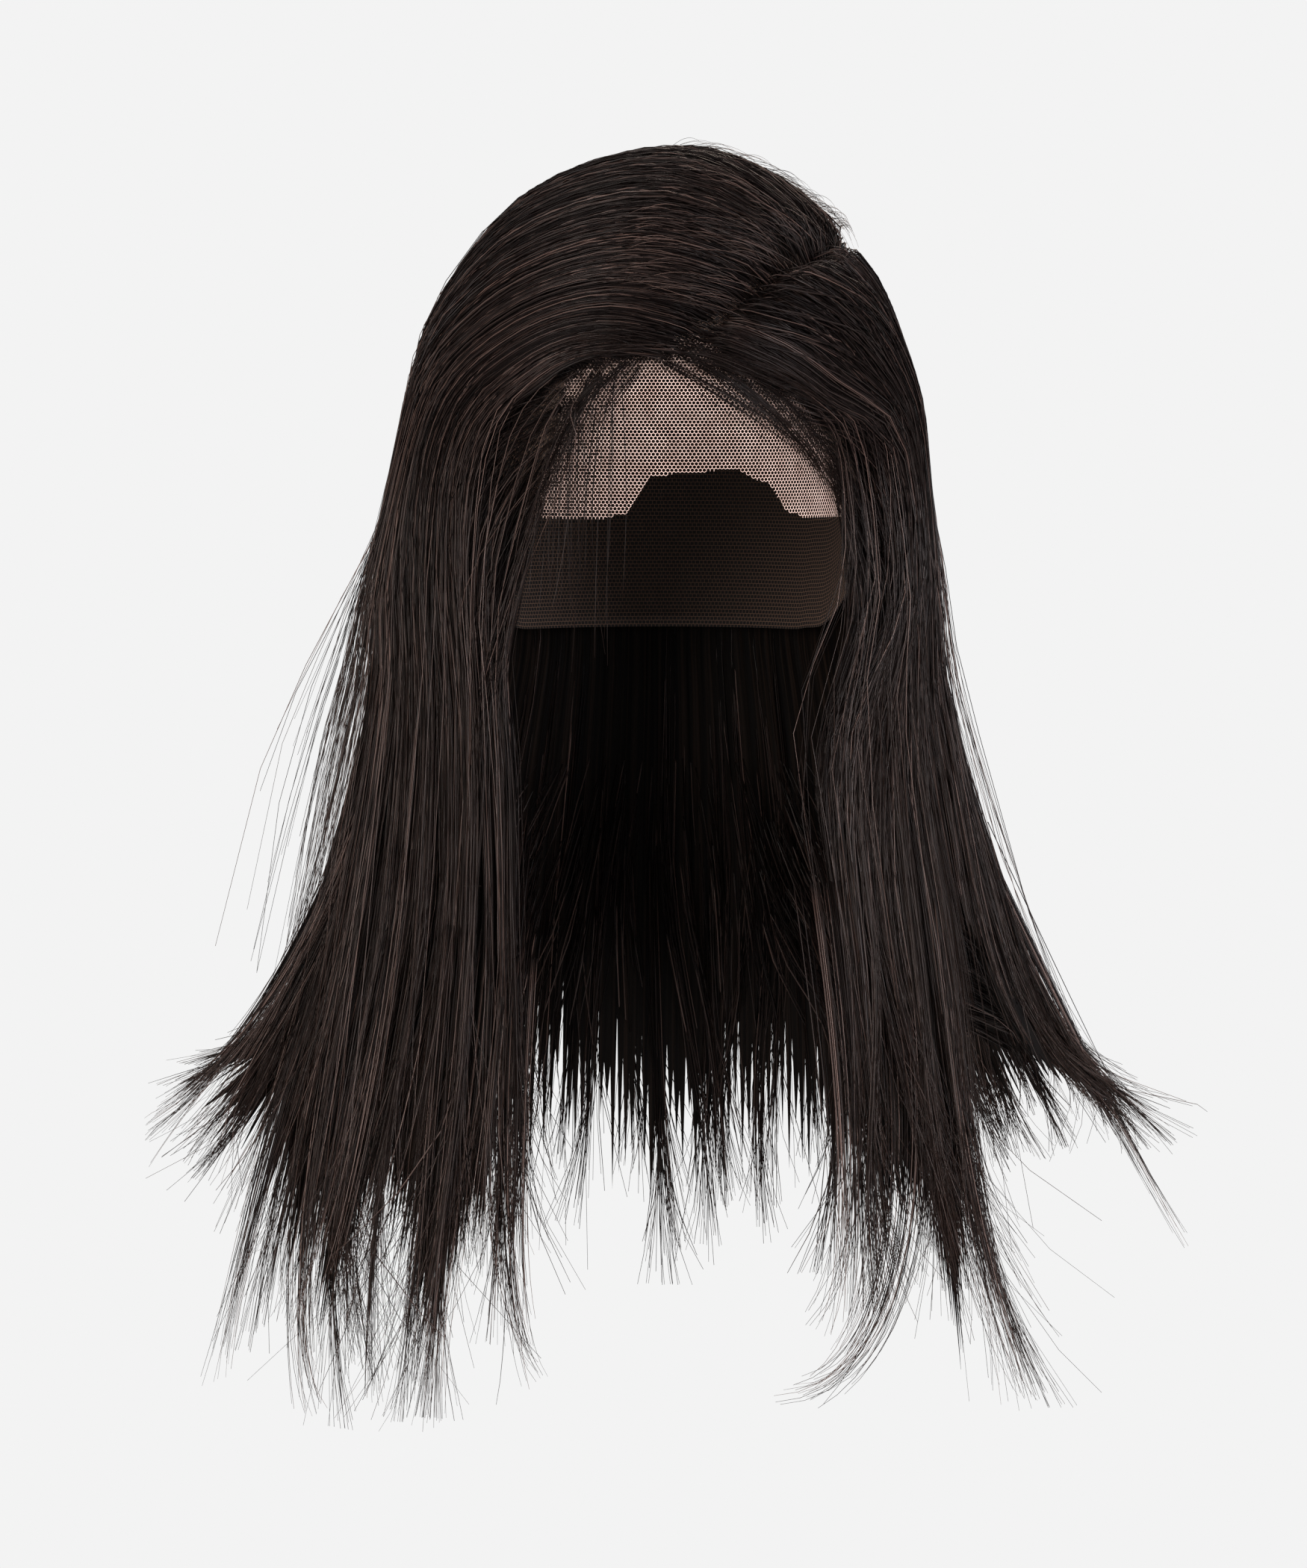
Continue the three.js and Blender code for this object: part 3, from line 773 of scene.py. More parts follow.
    def layer(self, across: Array, along: Array, depth: Array | float) -> Array:
        """Points at a depth in the hair, with the guides' bend beside the ear drawn out.

        Each point is the mean of five places along its guide, weighted 1, 4, 6, 4, 1, and keeps its
        own height over the head.

        Args:
            across: guide numbers.
            along: shares of the guides.
            depth: 0 on the outer face, 1 on the inner face.

        Returns:
            Points of the layer.
        """
        starts, ends = smoothstep(along, *self.bend_starts), smoothstep(along, *self.bend_ends)
        reach = self.bend_step * starts * (1 - ends)
        steps, weights = (-2, -1, 0, 1, 2), (1, 4, 6, 4, 1)
        mean = sum(
            weight / sum(weights) * self.plain_layer(across, along + step * reach, depth)
            for step, weight in zip(steps, weights)
        )
        return self.head.as_high(mean, self.plain_layer(across, along, depth))

    def rooted(self, points: Array, rise: Array) -> Array:
        """Brings points down to the scalp where rise is 0, and leaves them where it is 1."""
        base = self.head.under(points, self.scalp)
        return base + (points - base) * rise[..., None]


# The box that strands keep to, low and high corner, and how far the last of them may press past it.
HAIR_BOX = np.array([(-177, -117, -438), (189, 119, 12)], float)
BOX_GIVE = 6.0
# Rows along strands: whole ones near the root and below the crown, lower ones, inner ones and ends.
ROOT_ROWS = (0, 0.012, 0.03, 0.055)
CROWN_ROWS = (0.09, 0.5)
FALL_ROWS = (0.57, 0.67, 0.775, 0.86, 0.92, 0.953, 0.979, 1.0)
LOWER_ROWS = np.array([0, 0.08, 0.17, 0.28, 0.4, 0.53, 0.66, 0.77, 0.86, 0.92, 0.963, 1.0])
INNER_ROWS = np.linspace(0, 1, 8)
END_ROWS = np.array([0, 0.3, 0.55, 0.75, 0.9, 1.0])


def strand_rows(over_crown: int) -> Array:
    """Rows along a whole strand: close at the root, even over the crown, far apart below."""
    return np.concatenate([ROOT_ROWS, np.linspace(*CROWN_ROWS, over_crown), FALL_ROWS])


def kept_in_box(points: Array) -> Array:
    """Draws in what lies outside the hair's box: an excess e becomes give * (1 - exp(-e / give)).

    Args:
        points: points of strands.

    Returns:
        The points, none of them further out than the give.
    """
    inside = np.clip(points, *HAIR_BOX)
    excess = points - inside
    return inside + np.sign(excess) * BOX_GIVE * (1 - np.exp(-np.abs(excess) / BOX_GIVE))


def taper(radius: Array, rows: Array, tip: float = 0.3, power: float = 4.0) -> Array:
    """Radius along strands: whole at the root, thinning as a power of the length to a share at the tip."""
    return radius[:, None] * (1 - (1 - tip) * rows[None] ** power)


@dataclass
class StrandBundle:
    """Many tapered strands, each a three-sided tube along its own line of points."""

    lines: Array
    radius: Array
    outward: Array
    tone: Array
    sides: int = 3
    tone_width: float = 1 / 64
    tone_turns: float = 7

    def piece(self, name: str, material: Material) -> None:
        """Builds all the tubes as one mesh.

        A ring of three points stands round each point of a line, square to it; rings join into quads
        and a triangle closes each end. The map holds the tone across and the length along.

        Args:
            name: name of the piece.
            material: hair finish.
        """
        count, rows, _ = self.lines.shape
        lines = kept_in_box(self.lines)
        tangent = unit(np.gradient(lines, axis=1))
        side = unit(np.cross(tangent, self.outward))
        normal = np.cross(side, tangent)
        turn = np.arange(self.sides)[None] / self.sides + self.tone[:, None] * self.tone_turns
        angle = 2 * np.pi * turn[:, None, :, None]
        ring = np.cos(angle) * side[:, :, None] + np.sin(angle) * normal[:, :, None]
        points = lines[:, :, None] + self.radius[:, :, None, None] * ring
        number = np.arange(count * rows * self.sides).reshape(count, rows, self.sides)
        after = np.roll(number, -1, axis=2)
        quads = np.stack([number[:, :-1], number[:, 1:], after[:, 1:], after[:, :-1]], -1).reshape(-1, 4)
        ends = np.concatenate([number[:, 0], number[:, -1, ::-1]]).reshape(-1, 3)
        new_piece(name, points.reshape(-1, 3), [quads, ends], self.map(), material)

    def map(self) -> list[Array]:
        """Coordinates on the strand map: a narrow band at the strand's tone, as long as the map.

        Returns:
            Coordinates of the quads' corners and of the ends' corners.
        """
        count, rows, _ = self.lines.shape
        edges = self.tone_width * np.arange(self.sides + 1)[None] / self.sides
        u = (self.tone * (1 - self.tone_width))[:, None] + edges
        v = np.linspace(0, 1, rows)
        shape = (count, rows - 1, self.sides, 4)
        u_corners = np.stack([u[:, :-1], u[:, :-1], u[:, 1:], u[:, 1:]], -1)[:, None]
        v_corners = np.stack([v[:-1], v[1:], v[1:], v[:-1]], -1)[None, :, None]
        quads = np.stack([np.broadcast_to(u_corners, shape), np.broadcast_to(v_corners, shape)], -1)
        lengths = np.array([(0, 0.01, 0), (1, 0.99, 1)])
        ends = [np.stack([u[:, :3], np.broadcast_to(length, (count, 3))], -1) for length in lengths]
        return [quads.reshape(-1, 2), np.concatenate(ends).reshape(-1, 2)]


def cell_corners(grid: Array) -> list[Array]:
    """The corners of a grid's cells, as one array for each of the four, in order round the cell."""
    return [grid[:-1, :-1], grid[1:, :-1], grid[1:, 1:], grid[:-1, 1:]]


def wall_quads(outer: Array, inner: Array, wraps: bool) -> Array:
    """Values at the corners of a closed wall's quads: both faces, then its ends, then its two sides.

    Args:
        outer: values on the outer grid, rows by columns.
        inner: values on the inner grid, of the same shape.
        wraps: whether the last column joins the first, so that the wall has no sides.

    Returns:
        One row of four values for each quad, in order round it as seen from outside.
    """
    parts = [
        np.stack(cell_corners(outer), 2).reshape(-1, 4, *outer.shape[2:]),
        np.stack(cell_corners(inner)[::-1], 2).reshape(-1, 4, *inner.shape[2:]),
        np.stack([outer[-1, :-1], inner[-1, :-1], inner[-1, 1:], outer[-1, 1:]], 1),
        np.stack([outer[0, :-1], outer[0, 1:], inner[0, 1:], inner[0, :-1]], 1),
    ]
    if not wraps:
        parts.append(np.stack([outer[:-1, 0], inner[:-1, 0], inner[1:, 0], outer[1:, 0]], 1))
        parts.append(np.stack([outer[:-1, -1], outer[1:, -1], inner[1:, -1], inner[:-1, -1]], 1))
    return np.concatenate(parts)


def closed_wall(face: Array, back: Array, wraps: bool = False) -> tuple[Array, list[Array], list[Array]]:
    """A closed wall between two grids of points with rows along and columns across.

    Args:
        face: outer grid, rows by columns by three.
        back: inner grid of the same shape.
        wraps: whether the last column joins the first.

    Returns:
        Vertices, arrays of faces, and the map's coordinates of their corners.
    """
    rows, columns, _ = face.shape
    number = np.arange(2 * rows * columns).reshape(2, rows, columns)
    if wraps:
        number = np.concatenate([number, number[:, :, :1]], 2)
    u, v = np.linspace(0, 1, number.shape[2]), np.linspace(0, 1, rows)
    place = np.stack(np.broadcast_arrays(u[None, :], v[:, None]), -1)
    points = np.concatenate([face.reshape(-1, 3), back.reshape(-1, 3)])
    return points, [wall_quads(*number, wraps)], [wall_quads(place, place, wraps).reshape(-1, 2)]


@dataclass
class Clumps:
    """Small locks within a section: their strands draw together, wave together and curl alike.

    Neighbouring clumps form wisps, several to a lock, whose tips point together.
    """

    count: int
    first: float
    last: float
    rng: np.random.Generator
    locks: int = 8
    wisps_per_lock: int = 2
    jitter: float = 0.35
    longer: Span = (-0.004, 0.013)
    turns: Span = (0.8, 1.9)
    depths: Span = (0.05, 0.8)
    tones: Span = (1.6, 2.2)
    curl: float = 7.0
    own_curl: float = 0.4
    wisp_curl: float = 1.5
    lock_curl: float = 10.0
    lock_hook: float = 7.0
    own_hook: float = 0.7
    lock_bow: float = 4.0
    own_bow: float = 0.4
    out_share: float = 0.5
    most_out: float = 8.0
    straying: float = 0.45
    centre: Array = field(init=False)
    wisp: Array = field(init=False)
    in_wisp: Array = field(init=False)
    reach: Array = field(init=False)
    pace: Array = field(init=False)
    phase: Array = field(init=False)
    depth: Array = field(init=False)
    curl_aside: Array = field(init=False)
    curl_out: Array = field(init=False)
    bow: Array = field(init=False)
    hook: Array = field(init=False)
    tone: Array = field(init=False)

    def __post_init__(self) -> None:
        """Draws what each clump has of its own, and what it shares with its wisp and its lock."""
        rng, count, number = self.rng, self.count, np.arange(self.count)
        self.centre = self.first + (number + 0.5 + rng.uniform(-self.jitter, self.jitter, count)) * self.width
        self.reach = rng.normal(*self.longer, count)
        self.pace = rng.uniform(*self.turns, count)
        self.phase = rng.uniform(0, 1, count)
        self.depth = rng.uniform(*self.depths, count)
        lock = number * self.locks // count
        wisps = self.locks * self.wisps_per_lock
        self.in_wisp = (number * wisps // count)[:, None] == np.arange(wisps)
        self.wisp = self.wisp_mean(self.centre)
        own_curl = self.alike(rng.normal(0, self.curl, count))
        self.curl_aside = own_curl + rng.normal(0, self.lock_curl, self.locks)[lock]
        curl_out = rng.normal(0, self.out_share * self.curl, count)
        self.curl_out = np.clip(curl_out, -self.most_out, self.most_out)
        own_bow = rng.normal(0, self.own_bow * self.lock_bow, count)
        self.bow = own_bow + rng.normal(0, self.lock_bow, self.locks)[lock]
        own_hook = self.alike(rng.normal(0, self.own_hook * self.lock_hook, count))
        self.hook = own_hook + rng.normal(0, self.lock_hook, self.locks)[lock]
        self.tone = rng.beta(*self.tones, count)

    @property
    def width(self) -> float:
        """Width of a clump, in guides."""
        return (self.last - self.first) / self.count

    def wisp_mean(self, own: Array) -> Array:
        """The mean of a value over each clump's wisp."""
        return (self.in_wisp / self.in_wisp.sum(0)) @ self.in_wisp.T @ own

    def alike(self, own: Array) -> Array:
        """A value of which a share is the clump's own and the rest its wisp's, made a little stronger."""
        return self.own_curl * own + (1 - self.own_curl) * self.wisp_curl * self.wisp_mean(own)

    def of(self, across: Array) -> Array:
        """Number of the clump that each strand joins: its nearest, or now and then the next one."""
        place = (across - self.first) / self.width - 0.5 + self.rng.normal(0, self.straying, len(across))
        return np.clip(np.round(place), 0, self.count - 1).astype(int)


@dataclass
class StrandPlan:
    """Where a set of strands lies in the flow, with one value for each strand.

    The root is None where a strand grows from the scalp right under its own start.
    """

    across: Array
    depth: Array
    start: Array
    short: Array
    radius: Array
    rows: Array
    root: Array | None = None
    blend: float = 0.16
    rise: float = 0.055


@dataclass
class HairSection:
    """One section of hair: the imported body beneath, and the loose strands in and over it.

    Places across are guide numbers, places along are shares of a guide, and depths are shares of
    the hair's thickness. A span is a low and a high value, or where something starts and ends.
    Strands are counted for each layer, in the order of Layer.
    """

    side: Side
    first: float
    last: float
    tips: tuple[float, ...]
    notch: float
    over_crown: int
    strands: tuple[int, ...]
    flow: HairFlow
    cap: LaceCap
    rng: np.random.Generator
    strand_radius: Span = (0.17, 0.29)
    # Locks: notches between their tips, and the wide split in the left section.
    notch_left: float = 0.3
    split_at: float = 12.45
    split_reach: float = 0.55
    split_notch: float = 0.2
    # Beside the face opening: where whole strands start, and how hair swings back off the lace.
    far: float = 9.0
    face_edge: float = 0.7
    edge_share: float = 0.16
    cheek_reach: float = 3.2
    cheek_swing: float = 0.4
    swing_back: Span = (0.28, 0.57)
    swing_forth: Span = (0.58, 0.86)
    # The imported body: its grid, its insets, its two faces, and its torn lower end.
    body_columns: int = 232
    body_rows: int = 21
    seam: float = 0.015
    face_inset: float = 0.4
    crown_inset: float = 0.8
    inset_ends: Span = (0.35, 0.65)
    body_depths: Span = (0.3, 0.97)
    body_closing: Span = (0.34, 0.3)
    body_thins: Span = (0.7, 1.0)
    body_root: float = 0.1
    body_rises: float = 0.08
    body_short: float = 0.03
    teeth: Span = (1.4, 0.7)
    tooth_jitter: float = 0.3
    back_fray: float = 2.0
    fray_reach: float = 2.2
    # How strands gather to clumps, point to wisps, wave, curl and stray at their tips.
    clumps_per_lock: int = 5
    gathering: float = 0.7
    gathers: Span = (0.2, 1.0)
    depth_gathering: float = 0.5
    pointing: float = 0.65
    points_at: Span = (0.87, 1.0)
    waves_grow: Span = (0.4, 1.0)
    clump_wave: Span = (1.2, 0.5)
    own_wave: Span = (0.7, 0.4)
    own_turns: Span = (1.0, 3.0)
    curl_starts: float = 0.76
    curl_length: float = 0.24
    curl_power: float = 2.2
    hook_starts: float = 0.885
    hook_length: float = 0.115
    loose_end: float = 0.06
    most_stray: float = 20.0
    stray_out: float = 0.35
    stray_calms: Span = (0.86, 0.96)
    upward_left: float = 0.25
    whole_strands: float = 0.1
    nesting: int = 6
    own_strength: Span = (1.4, 0.6)
    own_stray: Span = (1.2, 6.5)
    clump_tone: float = 0.3
    own_tone: float = 0.85
    own_tones: Span = (0.9, 2.0)
    # Each layer's depths, where its strands start, and how much sooner they end: a share and a power.
    short: Span = (0.11, 1.8)
    outer_depths: Span = (0.03, 0.36)
    outer_spread: Span = (0.9, 1.4)
    outer_starts: Span = (0, 0.03)
    edge_depths: Span = (0, 0.9)
    edge_starts: Span = (0.5, 0.6)
    under_depths: Span = (0.15, 0.95)
    under_starts: Span = (0.12, 0.45)
    inner_depths: Span = (0.88, 1.04)
    inner_starts: Span = (0.3, 0.55)
    end_depths: Span = (0.1, 0.9)
    end_starts: Span = (0.78, 0.86)
    end_short: Span = (0.07, 1)
    # From the part: how far roots are swept to its front, scatter off its line and lie across it.
    part_swept: float = 0
    part_scatter: Span = (2.2, 0.9)
    part_lie: Span = (0.2, 1.7)
    part_depths: Span = (-0.02, 0.3)
    part_raised: float = 0
    part_short: Span = (0.12, 1.5)
    part_radius: float = 0.85
    part_blend: float = 0.2
    # From the hairline: how far strands run into the section, and how far behind the line they root.
    hairline_inwards: Span = (0.9, 1.4)
    hairline_behind: Span = (15, 1.2)
    hairline_ahead: float = 1
    hairline_depths: Span = (0, 0.75)
    hairline_short: Span = (0.2, 1.3)
    hairline_radius: Span = (0.12, 0.22)
    hairline_over_crown: int = 6
    clumps: Clumps = field(init=False)

    def __post_init__(self) -> None:
        """Divides the section into its clumps."""
        locks = len(self.tips)
        self.clumps = Clumps(locks * self.clumps_per_lock, self.first, self.last, self.rng, locks)

    def reach(self, across: Array) -> Array:
        """Share of the guide that the hair reaches: a lock's own tip at its middle, less at a notch.

        Strands from both sides fall into a notch, so it is shallower here than in the solid.

        Args:
            across: guide numbers.

        Returns:
            Shares of the guides.
        """
        place = np.clip((across - self.first) / (self.last - self.first), 0, 0.9999) * len(self.tips)
        lock = np.floor(place).astype(int)
        to_notch = np.abs(2 * (place - lock) - 1)
        own = np.asarray(self.tips)[lock] * (1 - to_notch) + (1 - self.notch_left * self.notch) * to_notch
        return own - self.split_notch * np.maximum(0, 1 - np.abs(across - self.split_at) / self.split_reach)

    def from_face(self, across: Array) -> Array:
        """Distance from the edge of the face opening, in guides, or far where there is none."""
        away = {Side.RIGHT: across - self.first, Side.LEFT: self.last - across}
        return away.get(self.side, np.full_like(across, self.far))

    def from_back(self, across: Array) -> Array:
        """Distance from the seam with the back hair, in guides, or far in the back hair itself."""
        away = {Side.RIGHT: self.last - across, Side.LEFT: across - self.first}
        return away.get(self.side, np.full_like(across, self.far))

    def swept_back(self, across: Array, along: Array) -> Array:
        """Guides that strands follow: beside the face opening they swing back off the lace, and come
        forward again below it.

        Args:
            across: guide numbers.
            along: shares of the guides.

        Returns:
            Guide numbers, shifted beside the face.
        """
        if self.side is Side.BACK:
            return across
        swing = smoothstep(along, *self.swing_back) * (1 - smoothstep(along, *self.swing_forth))
        near = np.clip(1 - self.from_face(across) / self.cheek_reach, 0, 1)
        return across + near * swing * self.cheek_swing

    def body(self, material: Material) -> None:
        """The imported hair: a closed wall a little inside the section's outer face, thin at its ends.

        Its faces are two layers of the flow, which meet towards the tips and the free edge; at the
        roots the outer one comes down to the cap. The lower end is torn into teeth, longer near the
        seam with the back hair.

        Args:
            material: combed body finish.
        """
        columns = self.body_columns
        over, share = np.meshgrid(np.linspace(0, 1, columns), np.linspace(0, 1, self.body_rows))
        inset = self.face_inset + self.crown_inset * (1 - smoothstep(share, *self.inset_ends))
        low = self.first + (inset if self.side is Side.RIGHT else self.seam)
        high = self.last - (inset if self.side is Side.LEFT else self.seam)
        across = self.swept_back(low + (high - low) * over, share)
        jitter = self.rng.uniform(-self.tooth_jitter, self.tooth_jitter, columns)
        teeth = np.asarray(self.teeth)[np.arange(columns) % 2] + jitter
        fray = 1 + self.back_fray * np.clip(1 - self.from_back(across) / self.fray_reach, 0, 1)
        along = share * (self.reach(across) - self.body_short * teeth * fray)
        at_face = 1 - smoothstep(self.from_face(across) - inset, 0, self.face_edge)
        closing = np.maximum(smoothstep(share, *self.body_thins), at_face)
        rise = self.body_root + (1 - self.body_root) * smoothstep(along, 0.0, self.body_rises)
        outside = self.flow.layer(across, along, self.body_depths[0] + self.body_closing[0] * closing)
        inside = self.flow.layer(across, along, self.body_depths[1] - self.body_closing[1] * closing)
        points, faces, uv = closed_wall(self.flow.rooted(outside, rise), inside)
        piece = new_piece(f"{self.side.value}_body", points, faces, uv, material)
        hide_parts(self.side.value)

    def radii(self, count: int) -> Array:
        """Radii of strands, drawn between the thinnest and the thickest."""
        return self.rng.uniform(*self.strand_radius, count)

    def mostly_small(self, most: float, power: float, count: int) -> Array:
        """Values from 0 up, more of them small than large: the most, times an even draw to a power."""
        return most * self.rng.uniform(0, 1, count) ** power

    def outer_plan(self, count: int) -> StrandPlan:
        """Whole strands of the outer layers; none right at the face opening, where hair starts lower.

        Args:
            count: number of strands.

        Returns:
            Their plan.
        """
        rng = self.rng
        low = self.first + (self.face_edge if self.side is Side.RIGHT else 0)
        high = self.last - (self.face_edge if self.side is Side.LEFT else 0)
        across = rng.uniform(low, high, count)
        depth = self.outer_depths[0] + self.outer_depths[1] * rng.beta(*self.outer_spread, count)
        radius, start = self.radii(count), rng.uniform(*self.outer_starts, count)
        short = self.mostly_small(*self.short, count)
        return StrandPlan(across, depth, start, short, radius, strand_rows(self.over_crown))

    def under_plan(self, count: int) -> StrandPlan:
        """Strands of the layers beneath, and of the face opening's edge, which start lower.

        Args:
            count: number of strands.

        Returns:
            Their plan.
        """
        rng = self.rng
        across = rng.uniform(self.first, self.last, count)
        if self.side is not Side.BACK:
            at_edge = rng.uniform(0, self.face_edge, count)
            at_edge = self.last - at_edge if self.side is Side.LEFT else self.first + at_edge
            across = np.where(rng.uniform(0, 1, count) < self.edge_share, at_edge, across)
        beside = self.from_face(across) < self.face_edge
        at_edge, within = rng.uniform(*self.edge_depths, count), rng.uniform(*self.under_depths, count)
        depth = np.where(beside, at_edge, within)
        at_edge, within = rng.uniform(*self.edge_starts, count), rng.uniform(*self.under_starts, count)
        start = np.where(beside, at_edge, within)
        radius, short = self.radii(count), self.mostly_small(*self.short, count)
        return StrandPlan(across, depth, start, short, radius, LOWER_ROWS)

    def inner_plan(self, count: int) -> StrandPlan:
        """Strands on the inner face of the hair, rooted low on the cap.

        Args:
            count: number of strands.

        Returns:
            Their plan.
        """
        rng = self.rng
        across = rng.uniform(self.first, self.last, count)
        start = rng.uniform(*self.inner_starts, count)
        radius, depth = self.radii(count), rng.uniform(*self.inner_depths, count)
        short = self.mostly_small(*self.short, count)
        return StrandPlan(across, depth, start, short, radius, INNER_ROWS)

    def end_plan(self, count: int) -> StrandPlan:
        """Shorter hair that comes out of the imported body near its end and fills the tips.

        Args:
            count: number of strands.

        Returns:
            Their plan.
        """
        rng = self.rng
        across, depth = rng.uniform(self.first, self.last, count), rng.uniform(*self.end_depths, count)
        start, short = rng.uniform(*self.end_starts, count), self.mostly_small(*self.end_short, count)
        return StrandPlan(across, depth, start, short, self.radii(count), END_ROWS)

    def part_plan(self, count: int) -> StrandPlan:
        """Strands rooted in the part: they stand up from its line and lean over to their own side.

        Where they are swept, their roots lie nearer the part's front end.

        Args:
            count: number of strands.

        Returns:
            Their plan.
        """
        rng, zero = self.rng, np.zeros(count)
        across = swept = rng.uniform(max(self.first, PART_GUIDES[0]), min(self.last, PART_GUIDES[1]), count)
        if self.part_swept:
            swept = across + (PART_FRONT - across) * rng.uniform(0, self.part_swept, count)
        scatter = [rng.normal(0, spread, count) for spread in self.part_scatter]
        azimuth = np.interp(swept, PART_LINE["guide"], PART_LINE["azimuth"]) + scatter[0]
        drop = np.interp(swept, PART_LINE["guide"], PART_LINE["drop"]) + scatter[1]
        line = self.cap.head.point(azimuth, drop, self.flow.scalp)
        own = self.flow.head.under(self.flow.outer(across, zero), self.flow.scalp)
        root = own + (line - own) * rng.uniform(*self.part_lie, count)[:, None]
        depth = rng.uniform(*self.part_depths, count) - self.part_raised
        short = self.mostly_small(*self.part_short, count)
        radius, rows = self.part_radius * self.radii(count), strand_rows(self.over_crown)
        return StrandPlan(across, depth, zero, short, radius, rows, root, self.part_blend, rise=0.04)

    def hairline_plan(self, count: int) -> StrandPlan:
        """Strands rooted along the hairline and a little behind it, which run into the section.

        Args:
            count: number of strands.

        Returns:
            Their plan.
        """
        rng = self.rng
        joins = HAIRLINE_JOINS[self.side]
        azimuth = self.cap.spread_along(joins["azimuth"][0], joins["azimuth"][-1], rng.uniform(0, 1, count))
        inwards = self.mostly_small(*self.hairline_inwards, count) * (-1 if self.side is Side.LEFT else 1)
        guide, start = (np.interp(azimuth, joins["azimuth"], joins[name]) for name in ("guide", "share"))
        across = np.clip(guide + inwards, self.first, self.last)
        behind = self.mostly_small(*self.hairline_behind, count) - self.hairline_ahead
        root = self.cap.behind_hairline(azimuth, behind, self.flow.scalp)
        depth = rng.uniform(*self.hairline_depths, count)
        short = self.mostly_small(*self.hairline_short, count)
        radius, rows = rng.uniform(*self.hairline_radius, count), strand_rows(self.hairline_over_crown)
        return StrandPlan(across, depth, start, short, radius, rows, root, blend=0.3, rise=0.2)

    def grow(self, plan: StrandPlan) -> StrandBundle:
        """Turns a plan into lines from root to tip.

        A strand rises from the scalp to its layer, draws towards the middle of its clump as it
        falls, points to its wisp, waves and curls at its tip. A root of its own shifts the line by a
        share that eases to nothing along the blend.

        Args:
            plan: where the strands lie.

        Returns:
            The strands.
        """
        rng, flow, clumps = self.rng, self.flow, self.clumps
        clump = clumps.of(plan.across)
        stop = np.minimum(1.0, self.reach(clumps.centre[clump]) + clumps.reach[clump] - plan.short)
        start = plan.start[:, None]
        along = self.rows_along(plan, stop)
        gather = self.gathering * smoothstep(along, *self.gathers)
        point = self.pointing * smoothstep(along, *self.points_at)
        place = plan.across[:, None] + (clumps.centre[clump] - plan.across)[:, None] * gather
        place = place + (clumps.wisp[clump][:, None] - place) * point
        place = self.swept_back(place, along)
        to_clump = (clumps.depth[clump] - plan.depth)[:, None]
        layer = plan.depth[:, None] + to_clump * gather * self.depth_gathering
        points = flow.rooted(flow.layer(place, along, layer), smoothstep(along - start, -0.004, plan.rise))
        if plan.root is not None:
            points = points + self.root_shift(plan, points, 1 - smoothstep(along - start, 0, plan.blend))
        outward = -flow.inward(place, along)
        aside = unit(np.cross(np.gradient(points, axis=1), outward))
        points = points + self.waves(along, clump, aside, outward)
        own_tone = self.own_tone * rng.beta(*self.own_tones, len(clump))
        tone = np.clip(self.clump_tone * clumps.tone[clump] + own_tone, 0, 1)
        return StrandBundle(points, taper(plan.radius, plan.rows), outward, tone)

    def rows_along(self, plan: StrandPlan, stop: Array) -> Array:
        """Places of the rows along each strand, as shares of its guide.

        The rows slide by up to half a step from strand to strand, so that no facet shows in the
        outline. In whole strands the start and the stop shift only the rows near the ends, by a
        power of the distance from the other end. Lower strands have even rows.

        Args:
            plan: where the strands lie.
            stop: share of the guide where each strand ends.

        Returns:
            Shares, strands by rows.
        """
        start, number = plan.start[:, None], np.arange(len(plan.rows))
        slide = self.rng.uniform(-0.5, 0.5, len(stop))[:, None] * ((number > 0) & (number < number[-1]))
        rows = np.interp(number + slide, number, plan.rows)
        even = start + (stop[:, None] - start) * rows
        nested = rows + start * (1 - rows) ** self.nesting + (stop[:, None] - 1) * rows**self.nesting
        return np.where(start < self.whole_strands, nested, even)

    def root_shift(self, plan: StrandPlan, points: Array, share: Array) -> Array:
        """Shifts that bring strands to roots of their own, keeping each point's height over the head.

        The point of the head beneath moves a share of the way to the root, and the strand stays as
        high over it as it was.

        Args:
            plan: where the strands lie.
            points: points of the strands.
            share: share of the way for each point.

        Returns:
            A shift for each point.
        """
        head = self.flow.head
        beneath = head.under(points, 0.0)
        height = np.linalg.norm(points - beneath, axis=-1)
        way = (plan.root - head.under(points[:, :1], self.flow.scalp)[:, 0])[:, None] * share[..., None]
        return head.under(beneath + way, height) - head.under(beneath, height)

